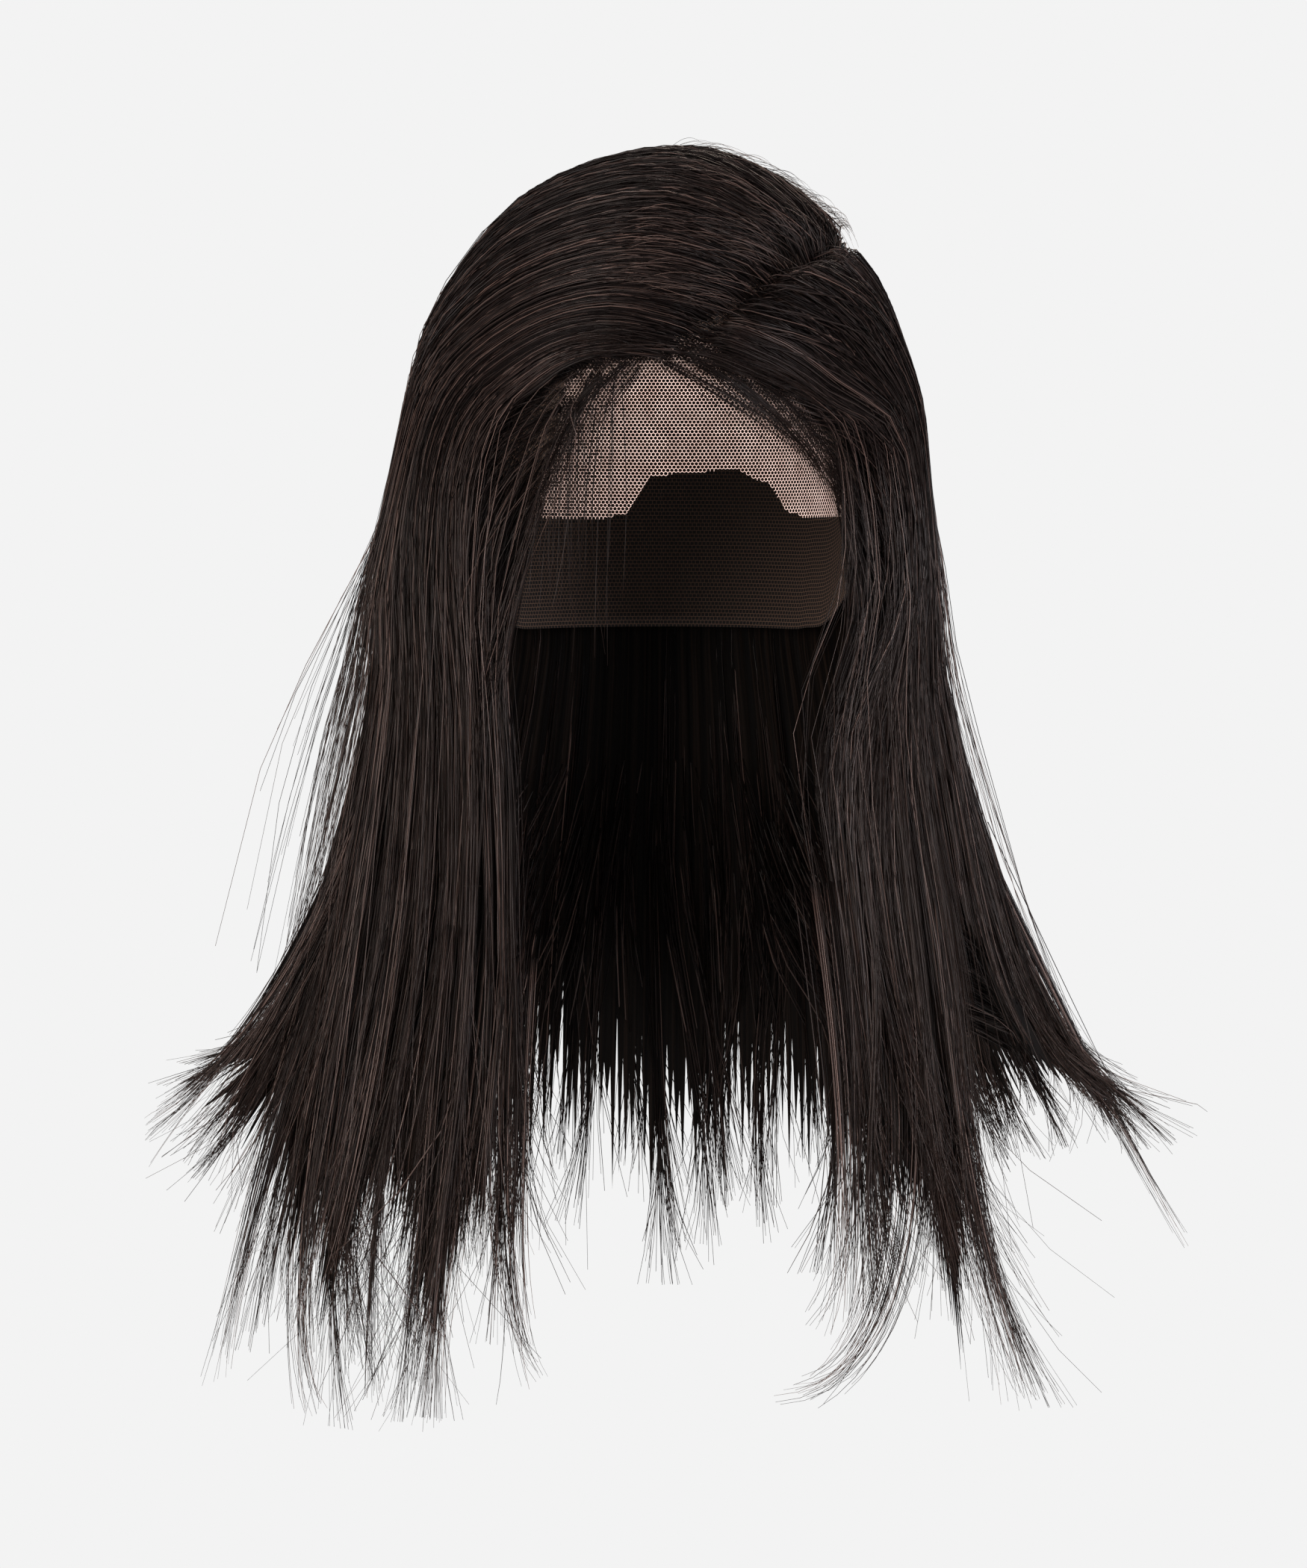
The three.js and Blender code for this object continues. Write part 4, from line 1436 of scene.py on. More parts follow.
    def waves(self, along: Array, clump: Array, aside: Array, outward: Array) -> Array:
        """Slow waves of a clump, quicker ones of each strand, and curls at the tips, as shifts.

        Waves are sines that grow along the strand. Towards the tip a clump's bow, curl and hook come
        in by powers of the length, and at the very end each strand strays.

        Args:
            along: shares of the guides, strands by rows.
            clump: number of each strand's clump.
            aside: unit vectors across the strands.
            outward: unit vectors out of the hair.

        Returns:
            A shift for each point.
        """
        rng, clumps, count = self.rng, self.clumps, len(clump)
        grow = smoothstep(along, *self.waves_grow)
        shared = wave(along, clumps.pace[clump], clumps.phase[clump])
        turns = self.own_turns
        own, other = (wave(along, rng.uniform(*turns, count), rng.uniform(0, 1, count)) for _ in range(2))
        strength = rng.gamma(*self.own_strength, count)[:, None]
        end = np.clip((along - self.curl_starts) / self.curl_length, 0, 1)
        curl = end**self.curl_power
        bow = np.sin(2 * np.pi * end) * smoothstep(end, 0, 0.4)
        hook = np.clip((along - self.hook_starts) / self.hook_length, 0, 1) ** 2
        loose = np.clip(1 - (along[:, -1:] - along) / self.loose_end, 0, 1) ** 2
        calm = smoothstep(along[:, -1:], *self.stray_calms)
        way = rng.normal(0, 1, (2, count, 1))
        far = np.minimum(rng.gamma(*self.own_stray, count), self.most_stray)[:, None]
        stray = way * far * loose * calm
        to_side = grow * (self.clump_wave[0] * shared + self.own_wave[0] * strength * own)
        to_side = to_side + curl * clumps.curl_aside[clump][:, None] + bow * clumps.bow[clump][:, None]
        to_side = to_side + hook * clumps.hook[clump][:, None] + stray[0]
        to_out = grow * (self.clump_wave[1] * shared + self.own_wave[1] * strength * other)
        to_out = to_out + curl * clumps.curl_out[clump][:, None] + self.stray_out * stray[1]
        shift = to_side[..., None] * aside + to_out[..., None] * outward
        shift[..., 2] = np.minimum(shift[..., 2], self.upward_left * shift[..., 2])
        return shift

    def build(self, strand: Material, packed: Material) -> None:
        """Builds the body, the strands all over it, and those rooted in the part and the hairline.

        Args:
            strand: finish of single strands.
            packed: finish of the body.
        """
        self.body(packed)
        within = (self.outer_plan, self.under_plan, self.inner_plan, self.end_plan)
        planners = (*within, self.part_plan, self.hairline_plan)
        plans = {layer: plan(count) for layer, plan, count in zip(Layer, planners, self.strands)}
        for layer, plan in plans.items():
            self.grow(plan).piece(f"{self.side.value}_{layer.value}_strands", strand)


@dataclass
class LooseHair:
    """Hair that leaves the sections on its own: strands that make one piece."""

    flow: HairFlow
    rng: np.random.Generator
    name: str

    def bundle(self) -> StrandBundle:
        """Works out the strands."""
        raise NotImplementedError

    def build(self, material: Material) -> None:
        """Builds the strands as one piece."""
        self.bundle().piece(self.name, material)


@dataclass
class LooseTips(LooseHair):
    """Locks whose tips leave the hanging hair on their own.

    A row gives the guide and the share where a lock leaves, the place and drop of its end, and its
    width.
    """

    name: str = "loose_tip_strands"
    locks: Rows = (
        (14.1, 1.0, 38, -112, 417, 10),
        (13.2, 0.96, 127, -98, 421, 10),
        (14.8, 0.95, 58, -108, 396, 7),
        (11.2, 0.93, 187, -12, 380, 10),
        (3.1, 0.98, -117, -92, 425, 12),
        (3.4, 0.965, -153, -84, 416, 6),
        (0.9, 0.97, -83, -108, 429, 12),
        (0.2, 0.98, -40, -106, 412, 8),
        (3.4, 0.87, -170, -44, 340, 10),
        (3.4, 0.88, -180, -36, 332, 5),
        (3.75, 0.93, -185, -32, 337, 5),
        (2.4, 0.93, -127, -95, 397, 13),
        (1.7, 0.94, -121, -98, 399, 13),
    )
    strands: int = 42
    points: int = 13
    start_before: float = 0.13
    depths: Span = (0.4, 0.5)
    lengths: Span = (0.62, 1.0)
    closing: float = 0.6
    flatness: float = 0.4
    curl: float = 6.0
    radius: Span = (0.13, 0.22)

    def bundle(self) -> StrandBundle:
        """Strands along a Bezier curve from inside the hair to each tip, closer together at its end.

        Returns:
            The strands.
        """
        rng, flow = self.rng, self.flow
        lock = np.repeat(table("guide leaves end_x end_y end_drop width", self.locks), self.strands)
        total, rows = len(lock), np.linspace(0, 1, self.points)
        start = flow.layer(lock["guide"], lock["leaves"] - self.start_before, np.full(total, self.depths[0]))
        leave = flow.layer(lock["guide"], lock["leaves"], np.full(total, self.depths[1]))
        end = np.stack([lock["end_x"], lock["end_y"], -lock["end_drop"]], -1)
        t = rows[None] * rng.uniform(*self.lengths, total)[:, None]
        spine = bezier(t[..., None], start[:, None], leave[:, None], end[:, None])
        outward = -flow.inward(lock["guide"], lock["leaves"])[:, None] * np.ones_like(spine)
        sideways = unit(np.cross(np.gradient(spine, axis=1), outward))
        width = lock["width"][:, None] * (1 - self.closing * t**1.5)
        aside, out = rng.normal(0, 0.5, (2, total))[:, :, None] * width[None]
        aside = aside + rng.normal(0, self.curl, total)[:, None] * t**4
        spine = spine + aside[..., None] * sideways + self.flatness * out[..., None] * outward
        radius = taper(rng.uniform(*self.radius, total), rows, power=2)
        return StrandBundle(spine, radius, outward, rng.uniform(0, 1, total))


@dataclass
class PartWisps(LooseHair):
    """Short fine hairs at the far end of the part, broken or newly tied in, that lie back over it."""

    name: str = "part_wisps"
    count: int = 300
    points: int = 9
    across: Span = (2.2, 7.4)
    along: Span = (0.02, 0.15)
    length: Span = (9, 26)
    rise: Span = (0.5, 3.6)
    back_step: float = 0.02
    scatter: float = 0.25
    arc: float = 0.75
    radius: Span = (0.06, 0.11)
    tones: Span = (0.3, 1.0)

    def bundle(self) -> StrandBundle:
        """Arcs on the outer face, against the way the hair lies: towards the part and over it.

        Returns:
            The strands.
        """
        rng, flow, count = self.rng, self.flow, self.count
        across = rng.uniform(*self.across, count)
        along = rng.uniform(*self.along, count)
        root = flow.outer(across, along)
        scatter = rng.normal(0, self.scatter, (count, 3))
        back = unit(flow.outer(across, along - self.back_step) - root + scatter)
        t = np.linspace(0, 1, self.points)[None]
        far = rng.uniform(*self.length, count)[:, None] * t
        lift = rng.uniform(*self.rise, count)[:, None] * np.sin(np.pi * self.arc * t)
        points = root[:, None] + far[..., None] * back[:, None]
        points = flow.head.as_high(points, np.broadcast_to(root[:, None], points.shape))
        outward = unit(points - flow.head.core(points))
        points = points + lift[..., None] * outward
        radius = taper(rng.uniform(*self.radius, count), t[0], tip=0.4, power=2)
        return StrandBundle(points, radius, outward, rng.uniform(*self.tones, count))


@dataclass
class Flyaways(LooseHair):
    """Single strands that stand off the hair: a thin veil on the right, and strays all round.

    A row gives the first and last guide, how far off the hair strands stand as shares of its
    thickness, their number, the shares of the guide where the shortest and the longest end, and how
    much of the way they come back lower down.
    """

    name: str = "stray_strands"
    strays: Rows = (
        (2.9, 4.7, 0.25, 1.15, 120, 0.74, 0.9, 0.75),
        (0.0, 5.5, 0.05, 0.55, 120, 0.6, 1.0, 0.0),
        (5.5, 10.5, 0.05, 0.5, 80, 0.6, 1.0, 0.0),
        (10.5, 15.0, 0.05, 0.55, 110, 0.6, 1.0, 0.0),
        (3.2, 4.6, 1.3, 2.6, 16, 0.74, 0.86, 0.0),
    )
    points: int = 10
    starts: Span = (0.1, 0.35)
    leaves: Span = (0.54, 0.82)
    returns: Span = (0.78, 0.9)
    depth: float = 0.1
    bulge: float = 0.16
    drift: float = 0.22
    turns: Span = (0.8, 2)
    radius: Span = (0.1, 0.16)

    def bundle(self) -> StrandBundle:
        """Strands that leave the outer face of the hair below the crown and wave more than the rest.

        Returns:
            The strands.
        """
        rng, flow = self.rng, self.flow
        rows = table("first last near far count short long returns", self.strays)
        row = np.repeat(rows, rows["count"].astype(int))
        total = len(row)
        across = rng.uniform(row["first"], row["last"])
        stop = rng.uniform(row["short"], row["long"])
        start = rng.uniform(*self.starts, total)
        u = np.linspace(0, 1, self.points)[None]
        along = start[:, None] + (stop - start)[:, None] * u
        held = 1 - row["returns"][:, None] * smoothstep(along, *self.returns)
        off = rng.uniform(row["near"], row["far"])[:, None] * held
        bulge = rng.uniform(0, self.bulge, total)[:, None] * np.sin(np.pi * u)
        depth = self.depth - off * smoothstep(along, *self.leaves) - bulge
        drift = rng.normal(0, self.drift, total)[:, None] * u**2
        place = np.clip(across[:, None] + drift, row["first"][:, None], row["last"][:, None])
        points = flow.layer(place, np.minimum(along, 1.0), depth)
        outward = -flow.inward(place, np.minimum(along, 1.0))
        sideways = unit(np.cross(np.gradient(points, axis=1), outward))
        sway = wave(u, rng.uniform(*self.turns, total), rng.uniform(0, 1, total))
        points = points + (rng.gamma(2, 0.9, total)[:, None] * sway * u)[..., None] * sideways
        radius = taper(rng.uniform(*self.radius, total), u[0], tip=0.5)
        return StrandBundle(points, radius, outward, rng.uniform(0, 1, total))


# A root knot: the six corners and eight faces of an octahedron.
KNOT_CORNERS = np.array([(1, 0, 0), (0, 1, 0), (-1, 0, 0), (0, -1, 0), (0, 0, 1), (0, 0, -1)], float)
KNOT_FACES = np.array(
    [(0, 1, 4), (1, 2, 4), (2, 3, 4), (3, 0, 4), (1, 0, 5), (2, 1, 5), (3, 2, 5), (0, 3, 5)]
)


@dataclass
class LaceCap:
    """The cap: net with hair knotted all over it, and the bare net left in front of the hairline.

    The rim and the hairline are rows of azimuth and drop. A place on the cap is an azimuth and an
    arc, the length along a meridian from the crown.
    """

    head: HeadForm
    rng: np.random.Generator
    rim: Rows = (
        (-180, 182), (-135, 162), (-100, 134), (-80, 139), (-62, 140), (-46, 133), (-34, 128), (-24, 122),
        (-14, 119.5), (-8, 117), (-1, 104), (6, 103), (15, 102), (22, 106), (30, 117), (40, 124),
        (52, 134), (64, 142), (80, 139), (100, 134), (135, 162), (180, 182),
    )
    hairline: Rows = (
        (-90, 170), (-62, 150), (-50, 144), (-41, 135), (-33, 125), (-26.5, 112), (-23.5, 96), (-22, 82),
        (-20.5, 73), (-17, 68), (-11, 65.5), (-3, 64), (7, 64), (13, 66.5), (21, 71), (29, 79),
        (37, 91), (43, 102), (48, 113), (58, 130), (68, 144), (90, 170),
    )
    # The ground: its grid, its two faces over the head, and how far it runs under the bare net.
    ground_columns: int = 120
    ground_rows: int = 46
    ground_starts: float = 0.012
    ground_offset: Span = (0.7, 0.2)
    ground_overlap: float = 2.0
    # The bare net: pitch and thread, its span, and how far it runs under the hair.
    pitch: float = 1.25
    thread: float = 0.12
    net_offset: float = 0.6
    net_radius: float = 84.0
    net_half_span: float = 74.0
    net_cells: tuple[int, int] = (400, 160)
    reach_under_hair: float = 9.0
    # Ripples of the free front edge.
    ripple: float = 1.6
    ripples_per_turn: float = 13
    ripple_middle: float = 6
    ripple_reach: float = 27
    ripple_starts: float = 0.72
    # Root knots along the hairline.
    knots: int = 700
    knot_span: Span = (-40, 58)
    knot_scatter: Span = (-1.5, 3.2)
    knot_from_rim: float = 2.0
    knot_offset: float = 0.15
    knot_size: Span = (0.12, 0.24)
    # The knots' map lies at the strands' roots, inside the hair finish's painted root shade.
    knot_map: Rows = ((0, 0), (0.012, 0), (0, 0.05))
    # The cap's net laid flat, in metres and square metres.
    flat: Span = (0.33, 0.37)
    flat_area: float = 0.0686

    def arc(self, drop: Array) -> Array:
        """Length along a meridian from the crown down to a drop: round over the dome, straight below.

        Args:
            drop: distance below the crown.

        Returns:
            The length.
        """
        share = drop / self.head.height
        over, below = np.arccos(np.clip(1 - share, -1, 1)), np.pi / 2 + share - 1
        return np.where(drop < self.head.height, over, below) * self.head.height

    def drop(self, arc: Array) -> Array:
        """Drop below the crown at a length along a meridian."""
        turn = arc / self.head.height
        return self.head.height * np.where(turn < np.pi / 2, 1 - np.cos(turn), 1 + turn - np.pi / 2)

    def rim_arc(self, azimuth: Array) -> Array:
        """Length along a meridian to the rim."""
        return self.arc(eased_rows(self.rim, azimuth))

    def hairline_drop(self, azimuth: Array) -> Array:
        """Drop of the hairline below the crown."""
        return np.interp(azimuth, *np.transpose(self.hairline))

    def surface(self, azimuth: Array, arc: Array, offset: float) -> Array:
        """Points of the cap; its free front edge waves.

        The lift is a cosine wave round the head, by the square of the way from where the ripple
        starts to the rim, and fades to the sides.

        Args:
            azimuth: degrees round the head.
            arc: lengths along the meridians.
            offset: height over the head form.

        Returns:
            Points, one for each place.
        """
        share = arc / self.rim_arc(azimuth)
        loose = np.clip((share - self.ripple_starts) / (1 - self.ripple_starts), 0, 1) ** 2
        aside = np.minimum(1, np.abs(azimuth - self.ripple_middle) / self.ripple_reach)
        ripples = (1 + np.cos(np.radians(azimuth * self.ripples_per_turn))) / 2
        lift = self.ripple * loose * ripples * (1 + np.cos(np.pi * aside)) / 2
        return self.head.point(azimuth, self.drop(arc), offset + lift)

    def front_start(self, azimuth: Array) -> Array:
        """Length along a meridian where the bare net begins, a little under the hair."""
        hairline = self.arc(self.hairline_drop(azimuth)) - self.reach_under_hair
        return np.minimum(hairline, self.rim_arc(azimuth))

    def behind_hairline(self, azimuth: Array, behind: Array, offset: float) -> Array:
        """Points over the cap, a length behind the hairline, square to it.

        Args:
            azimuth: degrees round the head.
            behind: lengths behind the hairline.
            offset: height over the head form.

        Returns:
            Points, one for each place.
        """
        before, here, after = (self.arc(self.hairline_drop(azimuth + step)) for step in (-0.5, 0, 0.5))
        slope = (after - before) / (np.radians(1.0) * self.net_radius)
        length = np.sqrt(1 + slope**2)
        aside = np.degrees(behind * slope / length / self.net_radius)
        return self.head.point(azimuth + aside, self.drop(here - behind / length), offset)

    def spread_along(self, first: float, last: float, share: Array) -> Array:
        """Azimuths at shares of the hairline's length between two azimuths.

        Args:
            first: azimuth where the share is 0.
            last: azimuth where it is 1.
            share: shares of the length.

        Returns:
            An azimuth for each share.
        """
        azimuth = np.linspace(first, last, 200)
        line = self.behind_hairline(azimuth, np.zeros(len(azimuth)), 0.0)
        length = np.concatenate([[0], np.cumsum(np.linalg.norm(np.diff(line, axis=0), axis=1))])
        return np.interp(share * length[-1], length, azimuth)

    def ground(self, material: Material) -> Object:
        """The part of the cap that carries hair: a thin wall from the crown to the bare net or the rim.

        Args:
            material: finish of the net with hair under it.

        Returns:
            The piece, in the place of the solid cap.
        """
        azimuth = np.linspace(-180, 180, self.ground_columns + 1)[:-1]
        end = np.minimum(self.rim_arc(azimuth), self.front_start(azimuth) + self.ground_overlap)
        share = np.linspace(self.ground_starts, 1, self.ground_rows)[:, None]
        azimuth, arc = np.broadcast_arrays(azimuth[None], end[None] * share)
        grids = [self.surface(azimuth, arc, offset) for offset in self.ground_offset]
        points, faces, uv = closed_wall(*grids, wraps=True)
        piece = new_piece("lace_ground", points, faces, uv, material)
        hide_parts("lace_cap")
        return piece

    def lattice(self) -> tuple[Array, Array]:
        """Ends of the net's threads, as azimuth and length along the meridian.

        They are the sides of a honeycomb: each point of one kind joins the three nearest of the
        other, at the pitch over the square root of three.

        Returns:
            Two arrays of ends, one row for each thread.
        """
        side = self.pitch / np.sqrt(3)
        wide = np.radians(self.net_half_span) * self.net_radius
        across, down = self.net_cells
        i, j = np.meshgrid(np.arange(across) - across // 2, np.arange(down), indexing="ij")
        corner = np.stack([self.pitch * (i + j / 2 - j // 2), 1.5 * side * j], -1).reshape(-1, 2)
        slant = np.array([self.pitch / 2, side / 2])
        first = np.concatenate([corner] * 3)
        second = np.concatenate([corner + [0, side], corner - slant, corner + slant * [1, -1]])
        keep = (np.abs(first[:, 0]) < wide) & (np.abs(second[:, 0]) < wide)
        ready = []
        for end in (first, second):
            azimuth = np.degrees(end[:, 0] / self.net_radius)
            keep &= (end[:, 1] < self.rim_arc(azimuth)) & (end[:, 1] > self.front_start(azimuth))
            ready.append(np.stack([azimuth, end[:, 1]], -1))
        return ready[0][keep], ready[1][keep]

    def front_net(self, material: Material) -> Object:
        """The bare net: a three-sided thread along every side of the honeycomb, on the cap's surface.

        The real mesh is about 0.9 mm across; it is drawn a little coarser so that it shows.

        Args:
            material: thread finish.

        Returns:
            The piece.
        """
        ends = [self.surface(e[:, 0], e[:, 1], self.net_offset) for e in self.lattice()]
        way = unit(ends[1] - ends[0])
        out = unit(ends[0] + ends[1] - 2 * self.head.middle)
        side = unit(np.cross(way, out))
        out = np.cross(side, way)
        angle = np.array([np.pi / 2, np.pi * 7 / 6, np.pi * 11 / 6])[None, :, None]
        ring = np.cos(angle) * side[:, None] + np.sin(angle) * out[:, None]
        points = np.stack([e[:, None] + self.thread * ring for e in ends], 1).reshape(-1, 3)
        number = np.arange(len(points)).reshape(-1, 2, 3)
        after = np.roll(number, -1, axis=2)
        quads = np.stack([number[:, 0], number[:, 1], after[:, 1], after[:, 0]], -1).reshape(-1, 4)
        return new_piece("front_net", points, [quads], None, material)

    def root_knots(self, material: Material) -> Object:
        """Knots that tie single hairs into the net along the hairline: small dark eight-sided beads of
        hair, which the hair finish's painted root shade darkens further.

        Args:
            material: hair finish.

        Returns:
            The piece.
        """
        rng, count, sides = self.rng, self.knots, len(KNOT_FACES)
        azimuth = self.spread_along(*self.knot_span, rng.uniform(0, 1, count))
        arc = self.arc(self.hairline_drop(azimuth)) + rng.normal(*self.knot_scatter, count)
        arc = np.minimum(arc, self.rim_arc(azimuth) - self.knot_from_rim)
        centre = self.surface(azimuth, arc, self.net_offset + self.knot_offset)
        size = rng.uniform(*self.knot_size, count)[:, None, None]
        points = (centre[:, None] + size * KNOT_CORNERS).reshape(-1, 3)
        faces = (np.arange(count)[:, None, None] * len(KNOT_CORNERS) + KNOT_FACES).reshape(-1, 3)
        tone = rng.uniform(0, 0.98, count)
        place = np.repeat(np.stack([tone, np.full(count, 0.02)], -1), sides, 0)[:, None]
        uv = np.asarray(self.knot_map)[None] + place
        return new_piece("root_knots", points, [faces], [uv.reshape(-1, 2)], material)

    def build(self, tulle: Material, thread: Material, hair: Material) -> list[Object]:
        """Builds the ground, the bare front net and the knots."""
        return [self.ground(tulle), self.front_net(thread), self.root_knots(hair)]


@dataclass
class HairlineHair:
    """Short and fine hair at the hairline: baby hairs, swoops over the bare net, and hanging strays.

    A row of swoops gives the start, the turn and the end as azimuth and drop, the height over the
    cap at the end, the number of hairs and their spread.
    """

    cap: LaceCap
    rng: np.random.Generator
    swoops: Rows = (
        (1, 66, 17, 80, 43, 108, 2, 16, 3.5),
        (8, 67, 22, 79, 45, 112, 2, 22, 3.5),
        (13, 68, 30, 86, 58, 132, 3, 24, 4),
        (22, 72, 38, 90, 64, 138, 3, 22, 3.5),
        (-6, 66, -12, 76, -26, 100, 3, 22, 6),
        (-14, 70, -22, 92, -30, 126, 5, 34, 7),
        (-20, 78, -24, 108, -22, 160, 9, 26, 9),
        (-12, 68, -16, 104, -16, 172, 9, 14, 9),
    )
    swoop_points: int = 14
    swoop_lengths: Span = (0.55, 1.0)
    swoop_heights: Span = (0.4, 1.2)
    swoop_radius: Span = (0.09, 0.18)
    baby_hairs: int = 420
    baby_points: int = 8
    baby_span: Span = (-38, 54)
    baby_behind: Span = (-1, 5)
    baby_lean: Span = (0.2, 1.2)
    baby_parting: float = 4
    baby_radius: Span = (0.06, 0.11)
    rising_hairs: int = 420
    rising_points: int = 10
    rising_span: Span = (-23, 22)
    rising_behind: Span = (-2.5, 5)
    rising_parting: float = 3
    rising_up: Span = (4, 13)
    rising_aside: Span = (14, 42)
    rising_height: Span = (4, 9)
    rising_radius: Span = (0.09, 0.17)
    lift: float = 1.0
    darkest_tones: float = 0.45

    def turned(self, length: Array) -> Array:
        """Degrees round the head that a length across the front of the cap makes."""
        return np.degrees(length / self.cap.net_radius)

    def swoop_hair(self) -> StrandBundle:
        """Hairs of the swoops: Bezier curves in azimuth and drop, spread more towards their ends.

        Returns:
            The strands.
        """
        rng = self.rng
        places = "start_azimuth start_drop turn_azimuth turn_drop end_azimuth end_drop"
        swoops = table(f"{places} height hairs spread", self.swoops)
        row = np.repeat(swoops, swoops["hairs"].astype(int))[:, None]
        total = len(row)
        t = np.linspace(0, 1, self.swoop_points)[None] * rng.uniform(*self.swoop_lengths, total)[:, None]
        spread = rng.normal(0, 0.5, (2, total))[:, :, None] * row["spread"][None] * (0.5 + 0.7 * t)[None]
        bend = rng.normal(0, 1.2, total)[:, None] * np.sin(np.pi * t) * 2
        azimuth = bezier(t, row["start_azimuth"], row["turn_azimuth"], row["end_azimuth"])
        drop = bezier(t, row["start_drop"], row["turn_drop"], row["end_drop"])
        azimuth, drop = azimuth + self.turned(spread[0] + bend), drop + 0.6 * spread[1]
        height = 1.0 + row["height"] * t**2 * rng.uniform(*self.swoop_heights, total)[:, None]
        return self.bundle(azimuth, drop, height, rng.uniform(*self.swoop_radius, total))

    def baby_hair(self) -> StrandBundle:
        """Short hairs rooted along the hairline that curl down and away from the part, in parabolas.

        Returns:
            The strands.
        """
        rng, count = self.rng, self.baby_hairs
        root = self.cap.spread_along(*self.baby_span, rng.uniform(0, 1, count))
        line = self.cap.hairline_drop(root) - rng.uniform(*self.baby_behind, count)
        t = np.linspace(0, 1, self.baby_points)[None]
        length = rng.gamma(3.0, 3.2, count)[:, None]
        lean = rng.uniform(*self.baby_lean, count)[:, None]
        side = np.where(root > self.baby_parting, 1, -1)[:, None] * lean
        azimuth = root[:, None] + self.turned(length * side * (0.4 * t + 0.8 * t**2))
        drop = line[:, None] + length * (0.9 * t - 0.35 * t**2)
        height = 0.8 + 1.8 * rng.uniform(0, 1, count)[:, None] * np.sin(np.pi * t * 0.8)
        return self.bundle(azimuth, drop, height, rng.uniform(*self.baby_radius, count))

    def rising_hair(self) -> StrandBundle:
        """Hair rooted along the front hairline that stands up from it and leans over to its own side.

        It goes up by a sine, aside by a power of the length, and falls back by its square.

        Returns:
            The strands.
        """
        rng, count = self.rng, self.rising_hairs
        root = rng.uniform(*self.rising_span, count)
        right = (root < self.rising_parting)[:, None]
        line = self.cap.hairline_drop(root) - rng.uniform(*self.rising_behind, count)
        t = np.linspace(0, 1, self.rising_points)[None]
        up = rng.uniform(*self.rising_up, count)[:, None] * np.where(right, 1, 0.4)
        aside = rng.uniform(*self.rising_aside, count)[:, None] * np.where(right, -1, 1)
        azimuth = root[:, None] + self.turned(aside * t**1.6)
        fall = np.abs(aside) * np.where(right, 0.16, 0.45) * t**2
        drop = line[:, None] - up * np.sin(np.pi * 0.6 * t) + fall
        height = rng.uniform(*self.rising_height, count)[:, None] * (1 - (1 - t) ** 2.5) - 0.6
        return self.bundle(azimuth, drop, height, rng.uniform(*self.rising_radius, count))

    def bundle(self, azimuth: Array, drop: Array, height: Array, radius: Array) -> StrandBundle:
        """Lines over the head form, as tapered strands in the darker tones.

        Args:
            azimuth: degrees round the head, hairs by points.
            drop: distances below the crown.
            height: heights over the cap.
            radius: radius of each hair at its root.

        Returns:
            The strands.
        """
        points = self.cap.head.point(azimuth, drop, self.lift + height)
        outward = unit(points - self.cap.head.middle)
        thin = taper(radius, np.linspace(0, 1, points.shape[1]), tip=0.4, power=3)
        return StrandBundle(points, thin, outward, self.darkest_tones * self.rng.uniform(0, 1, len(points)))

    def build(self, material: Material) -> None:
        """Builds the swoops, the baby hairs and the hair that rises from the hairline.

        Args:
            material: hair finish.
        """
        bundles = {
            "hairline_swoops": self.swoop_hair(),
            "baby_hairs": self.baby_hair(),
            "rising_hairs": self.rising_hair(),
        }
        for name, bundle in bundles.items():
            bundle.piece(name, material)


def aimed(name: str, data: bpy.types.ID, place: Point, aim: Point) -> Object:
    """Adds a camera or a light at a place, turned to face an aim.

    The turn about X is the angle up from straight down, and the turn about Z is the heading.

    Args:
        name: name of the object.
        data: the camera or the light.
        place: where it stands, in metres.
        aim: what it faces, in metres.

    Returns:
        The linked object.
    """
    x, y, z = np.subtract(aim, place)
    thing = bpy.data.objects.new(name, data)
    thing.location = place
    thing.rotation_euler = (float(np.arctan2(np.hypot(x, y), -z)), 0.0, float(np.arctan2(y, x) - np.pi / 2))
    bpy.context.scene.collection.objects.link(thing)
    return thing


@dataclass(frozen=True)
class SoftBox:
    """A square soft light, in metres and watts."""

    name: str
    place: Point
    size: float
    power: float
    colour: str

    def build(self, aim: Point) -> None:
        """Puts the light in its place.

        Args:
            aim: what it faces, in metres.
        """
        data = bpy.data.lights.new(self.name, "AREA")
        data.size, data.energy, data.color = self.size, self.power, linear(self.colour)[:3]
        aimed(self.name, data, self.place, aim)


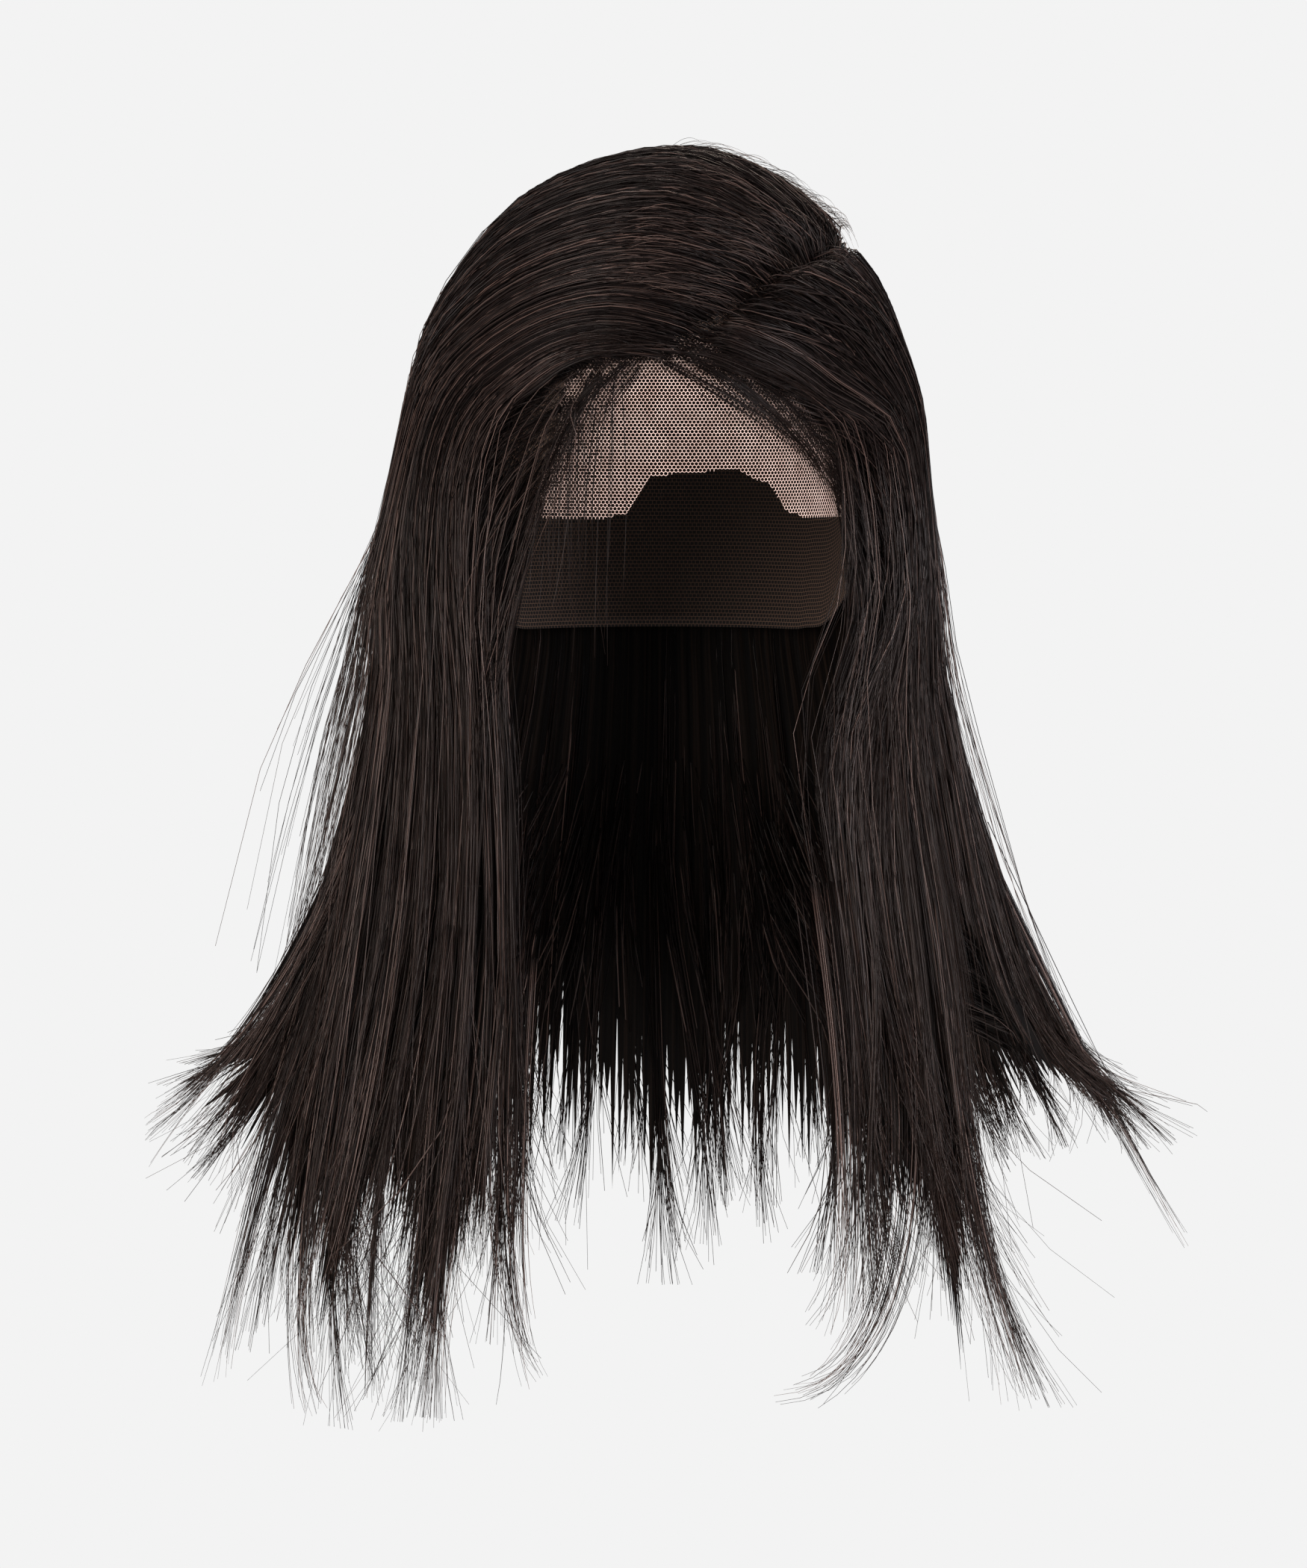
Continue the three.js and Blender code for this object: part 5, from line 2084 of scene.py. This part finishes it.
@dataclass
class Studio:
    """Round pale floor, soft lights, pale air behind the part and the camera, in metres."""

    floor: float = -0.62
    floor_radius: float = 0.54
    floor_corners: int = 96
    eye: Point = (-0.0027, -2.0, -0.065)
    aim: Point = (-0.0027, 0.0, -0.215)
    frame_height: float = 0.5565
    sensor: float = 36.0
    paper: str = "f3f3f3"
    air: str = "ffffff"
    air_strength: float = 0.55
    hair: Point = (0.0, 0.0, -0.18)
    lights: tuple[SoftBox, ...] = (
        SoftBox("key_soft_box", (-1.2, -2.0, 0.4), 1.2, 54, "fffaf4"),
        SoftBox("fill_soft_box", (1.5, -1.6, 0.3), 1.2, 62, "f8faff"),
        SoftBox("top_soft_box", (-0.1, -0.5, 1.5), 1.0, 4, "ffffff"),
        SoftBox("rim_soft_box", (0.4, 2.0, 1.0), 1.0, 14, "ffe6d2"),
    )

    def round_floor(self) -> None:
        """A round pale floor below the hair, just out of the main view: one face with many corners."""
        turn = np.linspace(0, 2 * np.pi, self.floor_corners + 1)[:-1]
        level = np.full(len(turn), self.floor)
        points = np.stack([self.floor_radius * np.cos(turn), self.floor_radius * np.sin(turn), level], -1)
        mesh = bpy.data.meshes.new("pale_floor")
        mesh.from_pydata(points.tolist(), [], [list(range(len(turn)))])
        mesh.materials.append(PaperFinish().material())
        floor = bpy.data.objects.new("pale_floor", mesh)
        bpy.context.scene.collection.objects.link(floor)

    def pale_air(self) -> bpy.types.World:
        """The world: even light all round, and plain pale paper where it is seen.

        Returns:
            The world.
        """
        world = bpy.data.worlds.new("studio_air")
        world.use_nodes = True
        tree = world.node_tree
        tree.nodes.clear()
        seen = add_node(tree, "ShaderNodeLightPath").outputs["Is Camera Ray"]
        inputs = {"Color": linear(self.air), "Strength": self.air_strength}
        air = add_node(tree, "ShaderNodeBackground", inputs)
        paper = add_node(tree, "ShaderNodeBackground", {"Color": linear(self.paper), "Strength": 1.0})
        shown = add_node(tree, "ShaderNodeMixShader", {0: seen, 1: air, 2: paper})
        add_node(tree, "ShaderNodeOutputWorld", {"Surface": shown})
        return world

    def camera(self) -> Object:
        """The camera, with a lens that shows the frame's height at the aim.

        Returns:
            The linked camera.
        """
        data = bpy.data.cameras.new("camera")
        distance = float(np.linalg.norm(np.subtract(self.aim, self.eye)))
        data.sensor_fit = "VERTICAL"
        data.sensor_height = self.sensor
        data.lens = self.sensor * distance / self.frame_height
        return aimed("camera", data, self.eye, self.aim)

    def build(self) -> None:
        """Sets the floor, the lights, the world and the camera."""
        self.round_floor()
        for light in self.lights:
            light.build(self.hair)
        scene = bpy.context.scene
        scene.world = self.pale_air()
        scene.view_settings.view_transform = "Standard"
        scene.camera = self.camera()


def main() -> None:
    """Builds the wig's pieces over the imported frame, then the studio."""
    logging.basicConfig(level=logging.INFO, format="%(name)s: %(message)s")
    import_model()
    rng = np.random.default_rng(SEED)
    flow = HairFlow()
    strand = HairFinish().material()
    packed = MassFinish().material()
    cap = LaceCap(flow.head, rng)
    ground, net, knots = cap.build(LaceFinish().material(), ThreadFinish().material(), strand)
    common = {"flow": flow, "cap": cap, "rng": rng}
    right = HairSection(
        side=Side.RIGHT, first=0, last=5.5, tips=(0.97, 1, 0.96, 1, 0.98, 1, 0.96, 0.98), notch=0.1,
        over_crown=12, strands=(895, 740, 90, 540, 490, 430), **common,
    )
    back = HairSection(
        side=Side.BACK, first=5.5, last=10.5, tips=(0.98, 1, 0.97, 1, 0.98, 1, 0.97, 0.99), notch=0.06,
        over_crown=9, strands=(560, 510, 260, 640, 220), strand_radius=(0.22, 0.36),
        body_columns=236, body_rows=23, body_short=0.055, most_stray=7.0, **common,
    )
    left = HairSection(
        side=Side.LEFT, first=10.5, last=15, tips=(0.98, 1, 0.97, 0.98, 1, 0.97, 0.99), notch=0.11,
        over_crown=7, strands=(750, 640, 90, 420, 490, 350), cheek_swing=-1.6,
        part_swept=0.55, part_raised=0.12, part_blend=0.34, **common,
    )
    for section in (right, back, left):
        section.build(strand, packed)
    for loose in (LooseTips(flow, rng), Flyaways(flow, rng), PartWisps(flow, rng), HairlineHair(cap, rng)):
        loose.build(strand)
    Studio().build()


if __name__ == "__main__":
    main()
